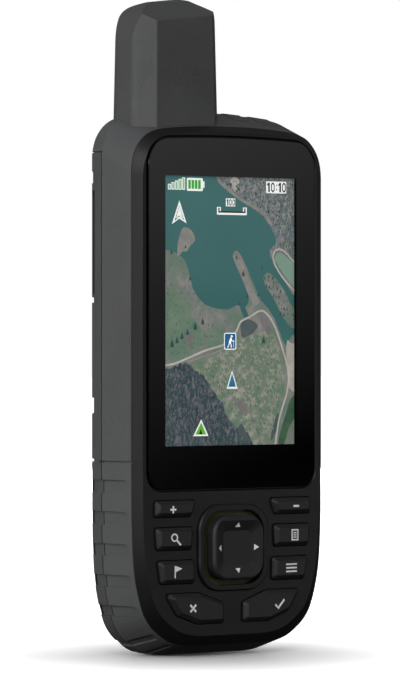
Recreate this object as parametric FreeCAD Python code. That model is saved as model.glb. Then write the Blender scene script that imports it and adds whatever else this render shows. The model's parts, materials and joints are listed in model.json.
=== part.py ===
import FreeCAD, Part
import math
import os

# Handheld satellite navigator, in mm. Z is up, the display faces -Y, the base stands on Z = 0.
# ---- overall
HALF_W = 31.0
FACE_Y = -14.6
FRONT_SEAM_Y = -12.8
BAND_SEAM_Y = -2.4
BACK_Y = 14.0
SEAL_T = 0.4
SEAL_INSET = 1.2
SEAM_LINE = (0.3, 0.5)
WALL = 2.0
LIP_GAP = 0.05
FIT_GAP = 0.25
PIN_GAP = 0.05
MARGIN = 5.0

# ---- outline: offsets from the half width and from the bottom, going up the right side
FLAT_SHARE = 0.29
LOW_CURVE = ((-14.5, 0.4), (-10.7, 1.6), (-8.3, 3.1), (-6.4, 4.6), (-4.9, 6.2), (-3.75, 8.0), (-2.9, 10.0),
             (-2.0, 13.0), (-1.15, 16.8), (-0.4, 24.0), (-0.1, 33.0), (0.0, 45.0))
# ---- offsets from the half width and from the top, for the front face and for the body behind it
TOP_FACE = ((0.0, -12.0), (-0.05, -11.0), (-0.4, -8.7), (-1.6, -5.7), (-2.9, -4.0), (-4.5, -2.6),
            (-7.0, -1.5), (-11.5, -0.75))
TOP_BODY = ((0.0, -11.6), (-0.06, -10.7), (-0.5, -8.7), (-1.1, -7.1), (-2.1, -5.5), (-3.7, -3.8),
            (-6.0, -2.4), (-9.3, -1.5), (-14.0, -0.95))

# ---- sections (y, half width, bottom, top)
FACE_SECTION = (FACE_Y, 27.5, 5.3, 129.7)
SEAM_SECTION = (FRONT_SEAM_Y, 29.5, 2.8, 131.1)
BAND_SECTION = (BAND_SEAM_Y, HALF_W, 0.0, 135.0)
REAR_SECTIONS = ((BAND_SEAM_Y + SEAL_T, HALF_W, 0.0, 135.0), (1.8, HALF_W, 0.0, 135.0),
                 (5.5, 28.3, 0.0, 133.3), (10.0, 25.0, 1.4, 130.6), (BACK_Y, 21.6, 4.2, 127.0))
LIP_DEPTH = 2.6
LIP_WALL = 1.2

# ---- grip slots in the sides of the band, by height, and round the lower corner, by angle
SLOT_DEPTH = 0.7
SLOT_FRONT_Y = -11.2
SLOT_BACK_Y = 1.2
SLOT_R = 1.3
SLOTS = ((40.6, 43.9), (32.9, 36.2), (25.3, 28.3), (17.6, 20.6), (10.3, 13.0))
CORNER_SLOTS = (((22.9, 3.3), 51.0, 2.4), ((17.6, 0.6), 72.0, 1.8))
CORNER_SLOT_R = 0.6
CORNER_SLOT_DEPTH = 0.4
GROOVE_Z = (48.1, 48.6)

# ---- rear housing: battery bay, pockets beside it, cavity above it
BAY_HALF = 16.2
BAY_Y = -0.8
BAY_Z = (13.0, 93.0)
BAY_R = 2.0
SIDE_POCKET = (18.2, 40.0, -3.0, 11.0, 26.0, 87.0)
TOP_CAVITY = (-40.0, 40.0, -3.0, 12.0, 97.0, 140.0)
CAP_BASE_Z = 124.6
CAP_SEAM = 0.3
RIDGE_X = ((6.5, 11.4), (14.5, 20.3))
RIDGE_Y = (-7.0, 6.0)
RIDGE_RISE = 0.2

# ---- grooves in the sides of the rear housing: depth, (front, back) and the heights
REAR_GROOVE = (0.9, 0.7, 3.0, 89.4, 115.0)
REAR_NOTCHES = ((0.3, 0.7, 19.0, 116.8, 120.0), (0.9, 0.7, 19.0, 87.4, 88.8), (0.9, 0.7, 19.0, 60.0, 64.0),
                (0.7, 0.7, 19.0, 48.1, 49.0))

# ---- screws
SCREW_X = 18.9
SCREW_Z = (22.0, 91.5)
SCREW_R = 1.0
SCREW_HEAD_R = 1.6
SCREW_HEAD_T = 1.3
SCREW_SINK = 0.2
SCREW_TIP_Y = -6.5
BOSS_R = 2.3
BOSS_FRONT_Y = -8.0
BOARD_SCREWS = ((22.6, 47.5), (18.0, 124.4))
BOARD_SCREW_R = 0.6
BOARD_SCREW_HEAD_R = 1.2
BOARD_SCREW_HEAD_T = 0.7
BOARD_SCREW_TIP_Y = -12.2
BOARD_BOSS_R = 1.35

# ---- antenna: plan outline at its foot, clockwise from the front left corner
ANTENNA_PLAN = ((-21.2, -11.9), (-3.3, -11.9), (-0.4, -9.0), (-0.4, 0.6), (-4.8, 6.6), (-20.8, 6.6),
                (-25.4, 0.6), (-25.4, -7.7))
ANTENNA_AXIS = (-12.65, -2.65)
ANTENNA_FOOT_Z = 120.0
ANTENNA_LEVELS = ((ANTENNA_FOOT_Z, 1.022), (166.0, 0.937))
ANTENNA_SOFT_R = 3.5
ANTENNA_CRISP_R = 0.6
# ---- the roof from the side: (y, z) of the front slope, then of the rounded back; tilted to rise to the right
ROOF_SLOPE = ((-13.6, 155.2), (-11.2, 157.8), (-6.0, 161.7))
ROOF_BACK = ((-3.0, 162.4), (0.0, 162.05), (2.6, 160.9), (4.4, 158.6), (5.5, 155.6), (6.1, 151.8),
             (6.5, 145.5))
ROOF_TILT = 7.0
# ---- the roof from the front: (x, z) of the rounded left shoulder, then of the cut right corner
SHOULDER = ((-25.35, 145.0), (-25.1, 150.0), (-24.75, 154.0), (-24.0, 156.9), (-22.5, 159.2), (-20.0, 160.8),
            (-17.2, 161.9), (-13.5, 163.4))
CORNER = ((-8.6, 163.4), (-6.5, 161.95), (-4.7, 160.9), (-3.1, 159.9), (-1.9, 158.8), (-1.15, 157.2),
          (-0.8, 154.5), (-0.4, 149.0))
# ---- the rounding of the back left corner, turned to face that corner
BACK_CORNER = ((-24.9, 144.0), (-24.5, 149.0), (-24.25, 153.0), (-23.85, 156.2), (-23.05, 158.6),
               (-21.5, 160.2), (-19.1, 161.2), (-14.6, 162.6))
BACK_CORNER_TURN = -37.5
OVER_ROOF = ((-4.0, 167.0), (10.0, 168.0), (24.0, 168.0))
HOLLOW_SCALE = (0.87, 0.83, 0.955)
CORE_R = 5.4
CORE_Z = (136.0, 156.0)
CORE_XY = (-12.65, -2.6)
CORE_PIN_Y = 0.5
CORE_PIN_R = 1.1
CORE_PIN_Z = 122.5
HELIX_WIRE_R = 0.45
HELIX_TURNS = 2.0

# ---- window and display
WINDOW_Y = -14.9
WINDOW_T = 0.9
WINDOW_HALF = 25.9
WINDOW_Z = (41.5, 127.4)
WINDOW_RISE = 0.8
WINDOW_TOP_R = 6.5
WINDOW_LOW_R = 4.2
WINDOW_BEVEL = 0.35
WINDOW_GASKET_T = 0.2
PANEL = (-22.0, 22.0, -13.9, -12.7, 49.5, 121.2)
PANEL_GAP = 0.2
TRAY = (-22.6, 22.6, -12.65, -10.5, 49.0, 121.8)
TRAY_WALL = 0.8

# ---- keys: outlines at the keypad face, right-hand side, clockwise from the upper inner corner
KEY_TOP_Y = -16.05
KEY_BEVEL = 1.0
KEY_BEVEL_DEPTH = 0.9
KEY_BACK_Y = -12.1
KEY_FLANGE_T = 0.55
KEY_FLANGE_W = 0.6
KEY_CORNER_R = 0.8
KEY_OUTLINES = (
    (("zoom_in", "zoom_out"), ((11.5, 38.8), (24.1, 38.8), (24.1, 34.9), (13.1, 34.9))),
    (("find", "page"), ((12.6, 32.2), (24.0, 32.2), (23.5, 26.8), (12.9, 26.8))),
    (("mark", "menu"), ((12.1, 24.1), (23.3, 24.1), (22.3, 18.5), (12.1, 18.5))),
    (("quit", "enter"), ((10.5, 15.95), (20.9, 15.95), (17.2, 10.6), (11.0, 8.4), (3.0, 8.4), (3.0, 13.3))),
)

# ---- four-way rocker
ROCKER_Z = 26.9
ROCKER_HALF = 7.9
ROCKER_R = 4.6
ROCKER_RIM_Y = -17.5
ROCKER_DISH_Y = -16.4
ROCKER_DISH_HALF = 4.2
ROCKER_RIM_W = 1.1
ROCKER_BACK_Y = -14.7
ROCKER_PIVOT_Y = -11.3
ROCKER_STEM_R = 1.6
ROCKER_OPEN_HALF = 9.3
ROCKER_OPEN_R = 5.4
COLLAR_HALF = 10.75
COLLAR_R = 6.4
COLLAR_Y = -15.4
RING_Y = -13.4
RING_T = 0.5
RING_HOLE_R = 4.0
HUB_R = 1.9
HUB_Y = (-13.2, -10.4)
GIMBAL_IN_R = 2.6
GIMBAL_OUT_R = 3.7
GIMBAL_T = 1.4
GIMBAL_PIN_R = 0.4
GIMBAL_SEAT_R = 4.2
POST_OUT_R = 5.6

# ---- keypad mat, domes, board
MAT = (-11.4, -10.5, 7.0, 45.6)
MAT_INSET = 3.7
MAT_HOLE_R = 6.0
DOME_R = 2.2
DOME_H = 0.4
BOARD = (-10.0, -8.6, 9.5, 126.8)
BOARD_INSET = 4.0

# ---- shield, buzzer, side button
SHIELD = (-16.0, 16.0, -8.55, -6.2, 58.0, 88.0)
SHIELD_WALL = 0.3
BUZZER = (-12.0, 38.0)
BUZZER_R = 5.0
BUZZER_Y = (-8.55, -5.6)
POWER_Y = -6.0
POWER_Z = 106.0
POWER_HALF = (1.7, 5.0)
POWER_FACE_X = 30.75
POWER_FLANGE_X = (26.9, 27.6)
POWER_GAP = 0.2
SWITCH = (21.0, 26.2, -8.55, -4.4, 102.5, 109.5)

# ---- input/output board, port, jack, caps, torch
IO_BOARD = (-20.0, 20.0, 1.0, 2.2, 98.5, 126.0)
PORT_X = 12.5
JACK_X = -12.5
CAP_Z = 105.0
PORT_HALF = (4.0, 1.7)
PORT_Y = (2.2, 11.7)
PORT_WALL = 0.4
TONGUE = (2.9, 0.35, 8.0)
JACK_R = 2.6
JACK_BORE_R = 1.8
JACK_BORE_DEPTH = 6.0
CAP_RECESS_HALF = 6.9
CAP_RECESS_Y = 12.8
CAP_HALF = 6.6
CAP_Y = (12.9, 13.95)
CAP_R = 1.6
PLUG_HALF = (4.6, 2.6)
PLUG_GAP = 0.5
PLUG_DEPTH = 0.4
CAP_BARREL_R = 0.85
CAP_BARREL_HALF = 4.0
CAP_PIN_R = 0.4
CAP_HINGE_Z = 112.6
CAP_HINGE_Y = 13.1
TORCH_X = 0.0
TORCH_Z = 121.5
TORCH_R = 2.2
TORCH_Y = (11.0, 14.1)
LED_HALF = 1.6
LED_Y = (2.25, 4.2)

# ---- mounting spine on the back
SPINE_Z = (97.5, 117.0)
SPINE_WEB_HALF = 2.6
SPINE_HEAD_HALF = 4.6
SPINE_HEAD_Y = (15.7, 17.5)

# ---- battery door and its turn latch
DOOR_Y = (14.15, 15.4, 15.9)
DOOR_INSET = (-0.6, -0.9, -2.2)
DOOR_TOP_Z = 94.5
DOOR_LIP_GAP = 0.25
DOOR_LIP_WALL = 1.2
DOOR_LIP_Y = 12.6
DOOR_SEAL_Y = (13.0, 13.7)
DOOR_SEAL_GAP = 0.1
LATCH_Z = 20.5
LATCH_R = 6.0
LATCH_GAP = 0.25
LATCH_FLOOR_Y = 14.9
LATCH_Y = (15.0, 15.85)
LATCH_SHAFT_R = 2.2
LATCH_TONGUE_HALF = (3.4, 1.4)
LATCH_TONGUE_Y = (12.7, 13.8)
EAR_X = (2.6, 4.0)
EAR_HALF = 1.1
EAR_Y = 17.4
RING_PIN_R = 0.45
RING_PIVOT_Y = 16.75
D_WIRE_R = 0.5
D_EYE_R = 0.65
D_HALF = 6.3
D_TOP = 14.0
D_BEND_R = 4.0

# ---- batteries and contacts
CELL_X = 8.0
CELL_Y = 6.55
CELL_R = 7.15
CELL_Z = (27.6, 77.1)
CELL_EDGE = 0.6
CELL_NUB_R = 2.7
CELL_NUB_H = 1.0
LOW_CONTACT = (-15.4, 15.4, 0.2, 12.0, 22.9, 23.5)
HIGH_CONTACT_HALF = 6.6
HIGH_CONTACT = (0.2, 12.0, 78.3, 78.9)
CONTACT_RIBS = ((-16.3, 16.3, -0.9, 11.8, 78.95, 80.6), (-16.3, 16.3, -0.9, 11.8, 21.6, 22.85))
COIL_R = 2.6
COIL_WIRE_R = 0.35
COIL_TURNS = 3.0
CARD = (-5.5, 5.5, 0.0, 0.9, 81.5, 91.0)
HOLDER = (-8.0, 8.0, -0.75, 1.4, 81.0, 92.2)
HOLDER_GAP = 0.1


def vec(x, y, z):
    """A point or direction."""
    return FreeCAD.Vector(x, y, z)


def box(x0, x1, y0, y1, z0, z1):
    """A block between two corners."""
    return Part.makeBox(x1 - x0, y1 - y0, z1 - z0, vec(x0, y0, z0))


def rod(start, axis, radius, length):
    """A cylinder from a start point along an axis."""
    return Part.makeCylinder(radius, length, vec(*start), vec(*axis))


def plate(points, y0, y1):
    """A flat plate with a polygon outline, from y0 back to y1."""
    corners = [vec(x, y0, z) for x, z in points]
    face = Part.Face(Part.makePolygon(corners + corners[:1]))
    return face.extrude(vec(0, y1 - y0, 0))


def upright_edges(solid):
    """The edges of a plate that run along Y."""
    found = []
    for edge in solid.Edges:
        a, b = edge.Vertexes[0].Point, edge.Vertexes[-1].Point
        if abs(a.x - b.x) < 0.01 and abs(a.z - b.z) < 0.01 and abs(a.y - b.y) > 0.1:
            found.append(edge)
    return found


def rounded_plate(points, y0, y1, radius):
    """A plate whose outline corners are all rounded."""
    solid = plate(points, y0, y1)
    return solid.makeFillet(radius, upright_edges(solid))


def rectangle(half_w, z0, z1, x=0.0):
    """Corner points of an upright rectangle."""
    return ((x - half_w, z0), (x + half_w, z0), (x + half_w, z1), (x - half_w, z1))


def mirrored(solid):
    """The solid on the other side of the X = 0 plane."""
    return solid.mirror(vec(0, 0, 0), vec(1, 0, 0))


def moved(solid, x, y, z):
    """A copy of the solid, moved."""
    copy = solid.copy()
    copy.translate(vec(x, y, z))
    return copy


def union(solids):
    """All the solids as one."""
    first = solids[0]
    return first.multiFuse(list(solids[1:])).removeSplitter()


def curve(points):
    """A smooth edge through the points."""
    line = Part.BSplineCurve()
    line.interpolate(Points=points)
    return line.toShape()


def outline(y, half, bottom, top, top_curve):
    """The closed outline of the body at one depth."""
    low = [vec(half + dx, y, bottom + dz) for dx, dz in LOW_CURVE]
    right = [vec(FLAT_SHARE * half, y, bottom)] + low
    left = [vec(-p.x, p.y, p.z) for p in reversed(right)]
    high = [vec(half + dx, y, top + dz) for dx, dz in top_curve]
    crown = high + [vec(0, y, top)] + [vec(-p.x, p.y, p.z) for p in reversed(high)]
    edges = (
        Part.makeLine(left[-1], right[0]),
        curve(right),
        Part.makeLine(right[-1], crown[0]),
        curve(crown),
        Part.makeLine(crown[-1], left[0]),
        curve(left),
    )
    return Part.Wire(edges)


def body(sections, top_curves):
    """A body lofted through sections (y, half width, bottom, top)."""
    wires = [outline(*section, top_curve) for section, top_curve in zip(sections, top_curves)]
    return Part.makeLoft(wires, True, True)


def grown(section, amount):
    """A section made wider all round, or narrower if the amount is negative."""
    y, half, bottom, top = section
    return (y, half + amount, bottom - amount, top + amount)


def at_depth(section, y):
    """The same outline at another depth."""
    return (y,) + tuple(section[1:])


def hollow(sections, top_curves, amount):
    """A smaller body that runs on past both ends of the sections, to cut with."""
    inner = [grown(section, amount) for section in sections]
    inner = [at_depth(inner[0], inner[0][0] - 1)] + inner + [at_depth(inner[-1], inner[-1][0] + 1)]
    curves = [top_curves[0]] + list(top_curves) + [top_curves[-1]]
    return body(inner, curves)


def slab(section, y0, y1, z0, z1):
    """A flat slab that follows the body outline between two heights."""
    prism = body((at_depth(section, y0), at_depth(section, y1)), (TOP_FACE, TOP_FACE))
    return prism.common(box(-HALF_W, HALF_W, y0 - MARGIN, y1 + MARGIN, z0, z1))


def window_shape(grow, y0, y1):
    """A plate with the window's outline: straight sides, slightly arched top."""
    half = WINDOW_HALF + grow
    low = WINDOW_Z[0] - grow
    high = WINDOW_Z[1] + grow
    crown = Part.Arc(vec(half, y0, high), vec(0, y0, high + WINDOW_RISE), vec(-half, y0, high)).toShape()
    edges = (
        Part.makeLine(vec(-half, y0, low), vec(half, y0, low)),
        Part.makeLine(vec(half, y0, low), vec(half, y0, high)),
        crown,
        Part.makeLine(vec(-half, y0, high), vec(-half, y0, low)),
    )
    solid = Part.Face(Part.Wire(edges)).extrude(vec(0, y1 - y0, 0))
    corners = upright_edges(solid)
    upper = [edge for edge in corners if edge.Vertexes[0].Z > WINDOW_Z[1] - MARGIN]
    lower = [edge for edge in corners if edge.Vertexes[0].Z < WINDOW_Z[0] + MARGIN]
    return solid.makeFillet(WINDOW_TOP_R + grow, upper).makeFillet(WINDOW_LOW_R + grow, lower)


def square_plate(half, radius, y0, y1):
    """A rounded square plate centred on the rocker."""
    return rounded_plate(rectangle(half, ROCKER_Z - half, ROCKER_Z + half), y0, y1, radius)


def key_shape(points, grow, y0, y1):
    """A plate with a key's outline, grown all round."""
    corners = [vec(x, y0, z) for x, z in points]
    ring = Part.makePolygon(corners + corners[:1])
    if grow:
        ring = ring.makeOffset2D(grow, 2)
    flat = Part.Face(ring).extrude(vec(0, y1 - y0, 0))
    return flat.makeFillet(KEY_CORNER_R, upright_edges(flat))


def key_pairs():
    """Every key outline with its name: the left key first, mirrored from the right one."""
    for names, points in KEY_OUTLINES:
        left = tuple((-x, z) for x, z in points)
        yield names[0], left
        yield names[1], points


def lip():
    """The rim behind the front plate that sits inside the band."""
    outer = grown(SEAM_SECTION, -WALL - LIP_GAP)
    ends = (at_depth(outer, FRONT_SEAM_Y - 0.2), at_depth(outer, FRONT_SEAM_Y + LIP_DEPTH))
    curves = (TOP_FACE, TOP_FACE)
    return body(ends, curves).cut(hollow(ends, curves, -LIP_WALL))


def front_housing():
    """Bezel with the window recess, the key openings and the rocker collar."""
    shell = body((FACE_SECTION, SEAM_SECTION), (TOP_FACE, TOP_FACE))
    collar = square_plate(COLLAR_HALF, COLLAR_R, COLLAR_Y, FACE_Y + 0.2)
    collar = collar.makeChamfer(0.35, [edge for edge in collar.Edges if edge.BoundBox.YMax < COLLAR_Y + 0.01])
    bosses = [rod((side * x, FRONT_SEAM_Y - 0.2, z), (0, 1, 0), BOARD_BOSS_R, BOARD[0] - FRONT_SEAM_Y + 0.2)
              for x, z in BOARD_SCREWS for side in (-1, 1)]
    shell = union([shell, lip(), collar] + bosses)
    recess_y = WINDOW_Y + WINDOW_T + WINDOW_GASKET_T
    bevel = window_shape(FIT_GAP + WINDOW_BEVEL, FACE_Y - MARGIN, FACE_Y + WINDOW_BEVEL)
    inner_edges = [edge for edge in bevel.Edges if edge.BoundBox.YMin > FACE_Y + WINDOW_BEVEL / 2]
    bevel = bevel.makeChamfer(WINDOW_BEVEL, inner_edges)
    shell = shell.cut([window_shape(FIT_GAP, FACE_Y - MARGIN, recess_y), bevel])
    x0, x1, _, _, z0, z1 = PANEL
    behind = FRONT_SEAM_Y + MARGIN
    opening = box(x0 - PANEL_GAP, x1 + PANEL_GAP, recess_y - 0.1, FRONT_SEAM_Y + 0.1,
                  z0 - PANEL_GAP, z1 + PANEL_GAP)
    well = square_plate(ROCKER_OPEN_HALF, ROCKER_OPEN_R, COLLAR_Y - MARGIN, FRONT_SEAM_Y + 0.1)
    keys = [key_shape(points, FIT_GAP, FACE_Y - MARGIN, FRONT_SEAM_Y + 0.1) for _, points in key_pairs()]
    keys += [key_shape(points, KEY_FLANGE_W + FIT_GAP, FRONT_SEAM_Y, behind) for _, points in key_pairs()]
    threads = [rod((side * x, BOARD_SCREW_TIP_Y - 0.1, z), (0, 1, 0),
                   BOARD_SCREW_R, behind - BOARD_SCREW_TIP_Y)
               for x, z in BOARD_SCREWS for side in (-1, 1)]
    return shell.cut([opening, well] + keys + threads)


def antenna_level(z, scale):
    """The antenna's plan outline at one height."""
    ax, ay = ANTENNA_AXIS
    points = [vec(ax + (x - ax) * scale, ay + (y - ay) * scale, z) for x, y in ANTENNA_PLAN]
    return Part.makePolygon(points + points[:1])


def antenna_stub():
    """The eight-sided tapering stub, before its roof is shaped: crisp at the front, soft elsewhere."""
    stub = Part.makeLoft([antenna_level(z, scale) for z, scale in ANTENNA_LEVELS], True, True)
    upright = [edge for edge in stub.Edges if edge.BoundBox.ZLength > MARGIN]
    crisp = [edge for edge in upright if edge.BoundBox.YMax < ANTENNA_PLAN[2][1] + 1]
    soft = [edge for edge in upright if edge.BoundBox.YMax > ANTENNA_PLAN[2][1] + 1]
    left = [edge for edge in crisp if edge.BoundBox.XMax < ANTENNA_PLAN[0][0] - 1]
    stub = stub.makeFillet(ANTENNA_SOFT_R, soft + left)
    front = [edge for edge in stub.Edges if edge.BoundBox.ZLength > MARGIN
             and edge.BoundBox.YMax < ANTENNA_PLAN[2][1] + 1 and edge.BoundBox.XMax > ANTENNA_PLAN[0][0] - 0.5]
    front = [edge for edge in front if edge.Vertexes[0].Y < ANTENNA_PLAN[2][1] + 0.3]
    return stub.makeFillet(ANTENNA_CRISP_R, front)


def roof_bar():
    """The antenna's roof from the side, run across its width and tilted."""
    slope = [vec(-HALF_W, y, z) for y, z in ROOF_SLOPE]
    back = [vec(-HALF_W, y, z) for y, z in ROOF_BACK]
    low_front = vec(-HALF_W, -HALF_W, ANTENNA_FOOT_Z - 2 * MARGIN)
    low_back = vec(-HALF_W, HALF_W, ANTENNA_FOOT_Z - 2 * MARGIN)
    out_front = vec(-HALF_W, -HALF_W, slope[0].z - HALF_W * 0.6)
    out_back = vec(-HALF_W, HALF_W, back[-1].z - MARGIN)
    edges = [Part.makeLine(low_front, out_front), Part.makeLine(out_front, slope[0])]
    edges += [Part.makeLine(a, b) for a, b in zip(slope, slope[1:] + back[:1])]
    edges += [curve(back), Part.makeLine(back[-1], out_back), Part.makeLine(out_back, low_back),
              Part.makeLine(low_back, low_front)]
    bar = Part.Face(Part.Wire(edges)).extrude(vec(2 * HALF_W, 0, 0))
    bar.rotate(vec(ANTENNA_AXIS[0], 0, ROOF_BACK[0][1]), vec(0, 1, 0), -ROOF_TILT)
    return bar


def shoulder_bar(left_points, right_points):
    """A roof seen from the front, run through the antenna's depth."""
    left = [vec(x, -HALF_W, z) for x, z in left_points]
    right = [vec(x, -HALF_W, z) for x, z in right_points]
    low_left = vec(-HALF_W - MARGIN, -HALF_W, ANTENNA_FOOT_Z - MARGIN)
    low_right = vec(HALF_W, -HALF_W, ANTENNA_FOOT_Z - MARGIN)
    out_left = vec(-HALF_W - MARGIN, -HALF_W, left[0].z - MARGIN)
    out_right = vec(HALF_W, -HALF_W, right[-1].z - MARGIN)
    edges = [Part.makeLine(low_left, out_left), Part.makeLine(out_left, left[0]), curve(left),
             Part.makeLine(left[-1], right[0]), curve(right), Part.makeLine(right[-1], out_right),
             Part.makeLine(out_right, low_right), Part.makeLine(low_right, low_left)]
    return Part.Face(Part.Wire(edges)).extrude(vec(0, 2 * HALF_W, 0))


def antenna_block():
    """The antenna's outer shape."""
    back_corner = shoulder_bar(BACK_CORNER, OVER_ROOF)
    back_corner.rotate(vec(*ANTENNA_AXIS, 0), vec(0, 0, 1), BACK_CORNER_TURN)
    return antenna_stub().common(roof_bar()).common(shoulder_bar(SHOULDER, CORNER)).common(back_corner)


def band_solid(amount):
    """The whole body behind the front plate, made bigger or smaller."""
    sections = [grown(section, amount) for section in (SEAM_SECTION, BAND_SECTION) + REAR_SECTIONS]
    curves = [TOP_FACE] + [TOP_BODY] * (len(sections) - 1)
    return body(sections, curves)


def rear_solid(amount):
    """The outer shape of the rear housing, made bigger or smaller."""
    return body([grown(section, amount) for section in REAR_SECTIONS], [TOP_BODY] * len(REAR_SECTIONS))


def slot_cutter(z0, z1):
    """A bar through both sides with a rounded front end."""
    bar = box(-HALF_W - MARGIN, HALF_W + MARGIN, SLOT_FRONT_Y, SLOT_BACK_Y + MARGIN, z0, z1)
    front = [edge for edge in bar.Edges if edge.BoundBox.YMax < SLOT_FRONT_Y + 0.01 and edge.Length > HALF_W]
    return bar.makeFillet(SLOT_R, front)


def corner_cutter(centre, angle, height, side):
    """A bar that points into a lower corner at an angle."""
    half = height / 2
    bar = box(-MARGIN, MARGIN, SLOT_FRONT_Y, SLOT_BACK_Y + MARGIN, -half, half)
    front = [edge for edge in bar.Edges
             if edge.BoundBox.YMax < SLOT_FRONT_Y + 0.01 and edge.Length > 2 * MARGIN - 0.1]
    bar = bar.makeFillet(CORNER_SLOT_R, front)
    bar.rotate(vec(0, 0, 0), vec(0, 1, 0), angle)
    bar.translate(vec(centre[0], 0, centre[1]))
    return bar if side > 0 else mirrored(bar)


def grip_cutters():
    """The skin of the band and rear housing where the grip slots lie."""
    bars = [slot_cutter(z0, z1) for z0, z1 in SLOTS]
    bars.append(box(-HALF_W - MARGIN, HALF_W + MARGIN, FRONT_SEAM_Y - 1, BAND_SEAM_Y + 1, *GROOVE_Z))
    corners = [corner_cutter(*slot, side) for slot in CORNER_SLOTS for side in (-1, 1)]
    deep, shallow = band_solid(-SLOT_DEPTH), band_solid(-CORNER_SLOT_DEPTH)
    return [bar.cut(deep) for bar in bars] + [bar.cut(shallow) for bar in corners]


def top_ridges():
    """Low ridges on the cap, to the right of the antenna."""
    skin = band_solid(RIDGE_RISE).cut(band_solid(-1.0))
    return [box(x0, x1, *RIDGE_Y, CAP_BASE_Z, TOP_CAVITY[5]).common(skin) for x0, x1 in RIDGE_X]


def seam_line():
    """The outermost skin of the band's front edge, cut away as a shadow line beside the front plate."""
    around = grown(SEAM_SECTION, SEAM_LINE[1])
    ends = (at_depth(around, FRONT_SEAM_Y - 1), at_depth(around, FRONT_SEAM_Y + SEAM_LINE[0]))
    curves = (TOP_FACE, TOP_FACE)
    return body(ends, curves).cut(hollow(ends, curves, -2 * SEAM_LINE[1]))


def top_cap():
    """The part of the band that reaches over the top of the rear housing."""
    sections = (BAND_SECTION,) + REAR_SECTIONS
    curves = [TOP_BODY] * len(sections)
    room = box(TOP_CAVITY[0], TOP_CAVITY[1], TOP_CAVITY[2] - MARGIN, *TOP_CAVITY[3:])
    shell = body(sections, curves).cut(room.common(hollow(sections, curves, -WALL)))
    return shell.common(box(-HALF_W, HALF_W, -HALF_W, HALF_W, CAP_BASE_Z, TOP_CAVITY[5]))


def below_cap(solid):
    """The solid without what would lie under the top cap or nearer to it than the seam."""
    return solid.cut(box(-HALF_W - MARGIN, HALF_W + MARGIN, BAND_SEAM_Y, HALF_W,
                         CAP_BASE_Z - CAP_SEAM, TOP_CAVITY[5]))


def mid_housing(cutters):
    """The grip band between the front and the rear, with the cap over the top."""
    ends = (SEAM_SECTION, BAND_SECTION)
    curves = (TOP_FACE, TOP_BODY)
    outer = body(ends, curves)
    shell = outer.cut(hollow(ends, curves, -WALL))
    bosses = []
    for z in SCREW_Z:
        boss = rod((SCREW_X, BOSS_FRONT_Y, z), (0, 1, 0), BOSS_R, BAND_SEAM_Y - BOSS_FRONT_Y)
        web = box(SCREW_X, HALF_W - WALL + 0.2, BOSS_FRONT_Y, BAND_SEAM_Y, z - 1.0, z + 1.0)
        bosses += [boss, web, mirrored(boss), mirrored(web)]
    shell = union([shell, top_cap()] + top_ridges() + [boss.common(outer) for boss in bosses])
    threads = [rod((side * SCREW_X, SCREW_TIP_Y - 0.2, z), (0, 1, 0), SCREW_R, MARGIN)
               for z in SCREW_Z for side in (-1, 1)]
    pin = rod((CORE_XY[0], CORE_PIN_Y, CORE_PIN_Z - 1), (0, 0, 1), CORE_PIN_R + 0.1, 20.0)
    return shell.cut(cutters + threads + [power_slot(), pin, seam_line()])


def housing_gasket():
    """The dark seal between the band and the rear housing."""
    outer = grown(BAND_SECTION, -SEAL_INSET)
    ends = (outer, at_depth(outer, BAND_SEAM_Y + SEAL_T))
    curves = (TOP_BODY, TOP_BODY)
    return below_cap(body(ends, curves).cut(hollow(ends, curves, SEAL_INSET - WALL)))


def antenna_cover():
    """The fat stub over the top of the body."""
    block = antenna_block()
    return block.cut([antenna_hollow(block), band_solid(LIP_GAP)])


def antenna_hollow(block):
    """The room inside the antenna cover: its outer shape made smaller about its foot."""
    ax, ay = ANTENNA_AXIS
    matrix = FreeCAD.Matrix()
    matrix.move(-ax, -ay, -ANTENNA_FOOT_Z)
    matrix.scale(*HOLLOW_SCALE)
    matrix.move(ax, ay, ANTENNA_FOOT_Z)
    return block.transformGeometry(matrix)


def antenna_core():
    """The ceramic former with its foot."""
    x, y = CORE_XY
    former = rod((x, y, CORE_Z[0]), (0, 0, 1), CORE_R, CORE_Z[1] - CORE_Z[0])
    pin = rod((x, CORE_PIN_Y, CORE_PIN_Z), (0, 0, 1), CORE_PIN_R, CORE_Z[0] - CORE_PIN_Z + 1)
    return union([former, pin])


def helix_wire(x, y, z, radius, pitch, height, wire_r, start):
    """A round wire wound round an upright axis."""
    path = Part.makeHelix(pitch, height, radius)
    ring = Part.Wire(Part.makeCircle(wire_r, vec(radius, 0, 0), vec(0, 1, 0)))
    coil = Part.Wire(path).makePipeShell([ring], True, True)
    coil.rotate(vec(0, 0, 0), vec(0, 0, 1), start)
    return moved(coil, x, y, z)


def antenna_helix():
    """Four windings round the former, a quarter turn apart."""
    x, y = CORE_XY
    low = CORE_Z[0] + 2 * HELIX_WIRE_R
    height = CORE_Z[1] - CORE_Z[0] - 4 * HELIX_WIRE_R
    pitch = height * HELIX_TURNS
    radius = CORE_R + HELIX_WIRE_R + 0.02
    return [helix_wire(x, y, low, radius, pitch, height, HELIX_WIRE_R, 90 * turn) for turn in range(4)]


def power_slot(grow=0.0):
    """The opening for the side button."""
    half_y, half_z = POWER_HALF
    gap = POWER_GAP + grow
    bar = box(POWER_FLANGE_X[0], HALF_W + MARGIN, POWER_Y - half_y - gap, POWER_Y + half_y + gap,
              POWER_Z - half_z - gap, POWER_Z + half_z + gap)
    long = [edge for edge in bar.Edges if edge.BoundBox.XLength > 1]
    return bar.makeFillet(half_y * 0.9, long)


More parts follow.
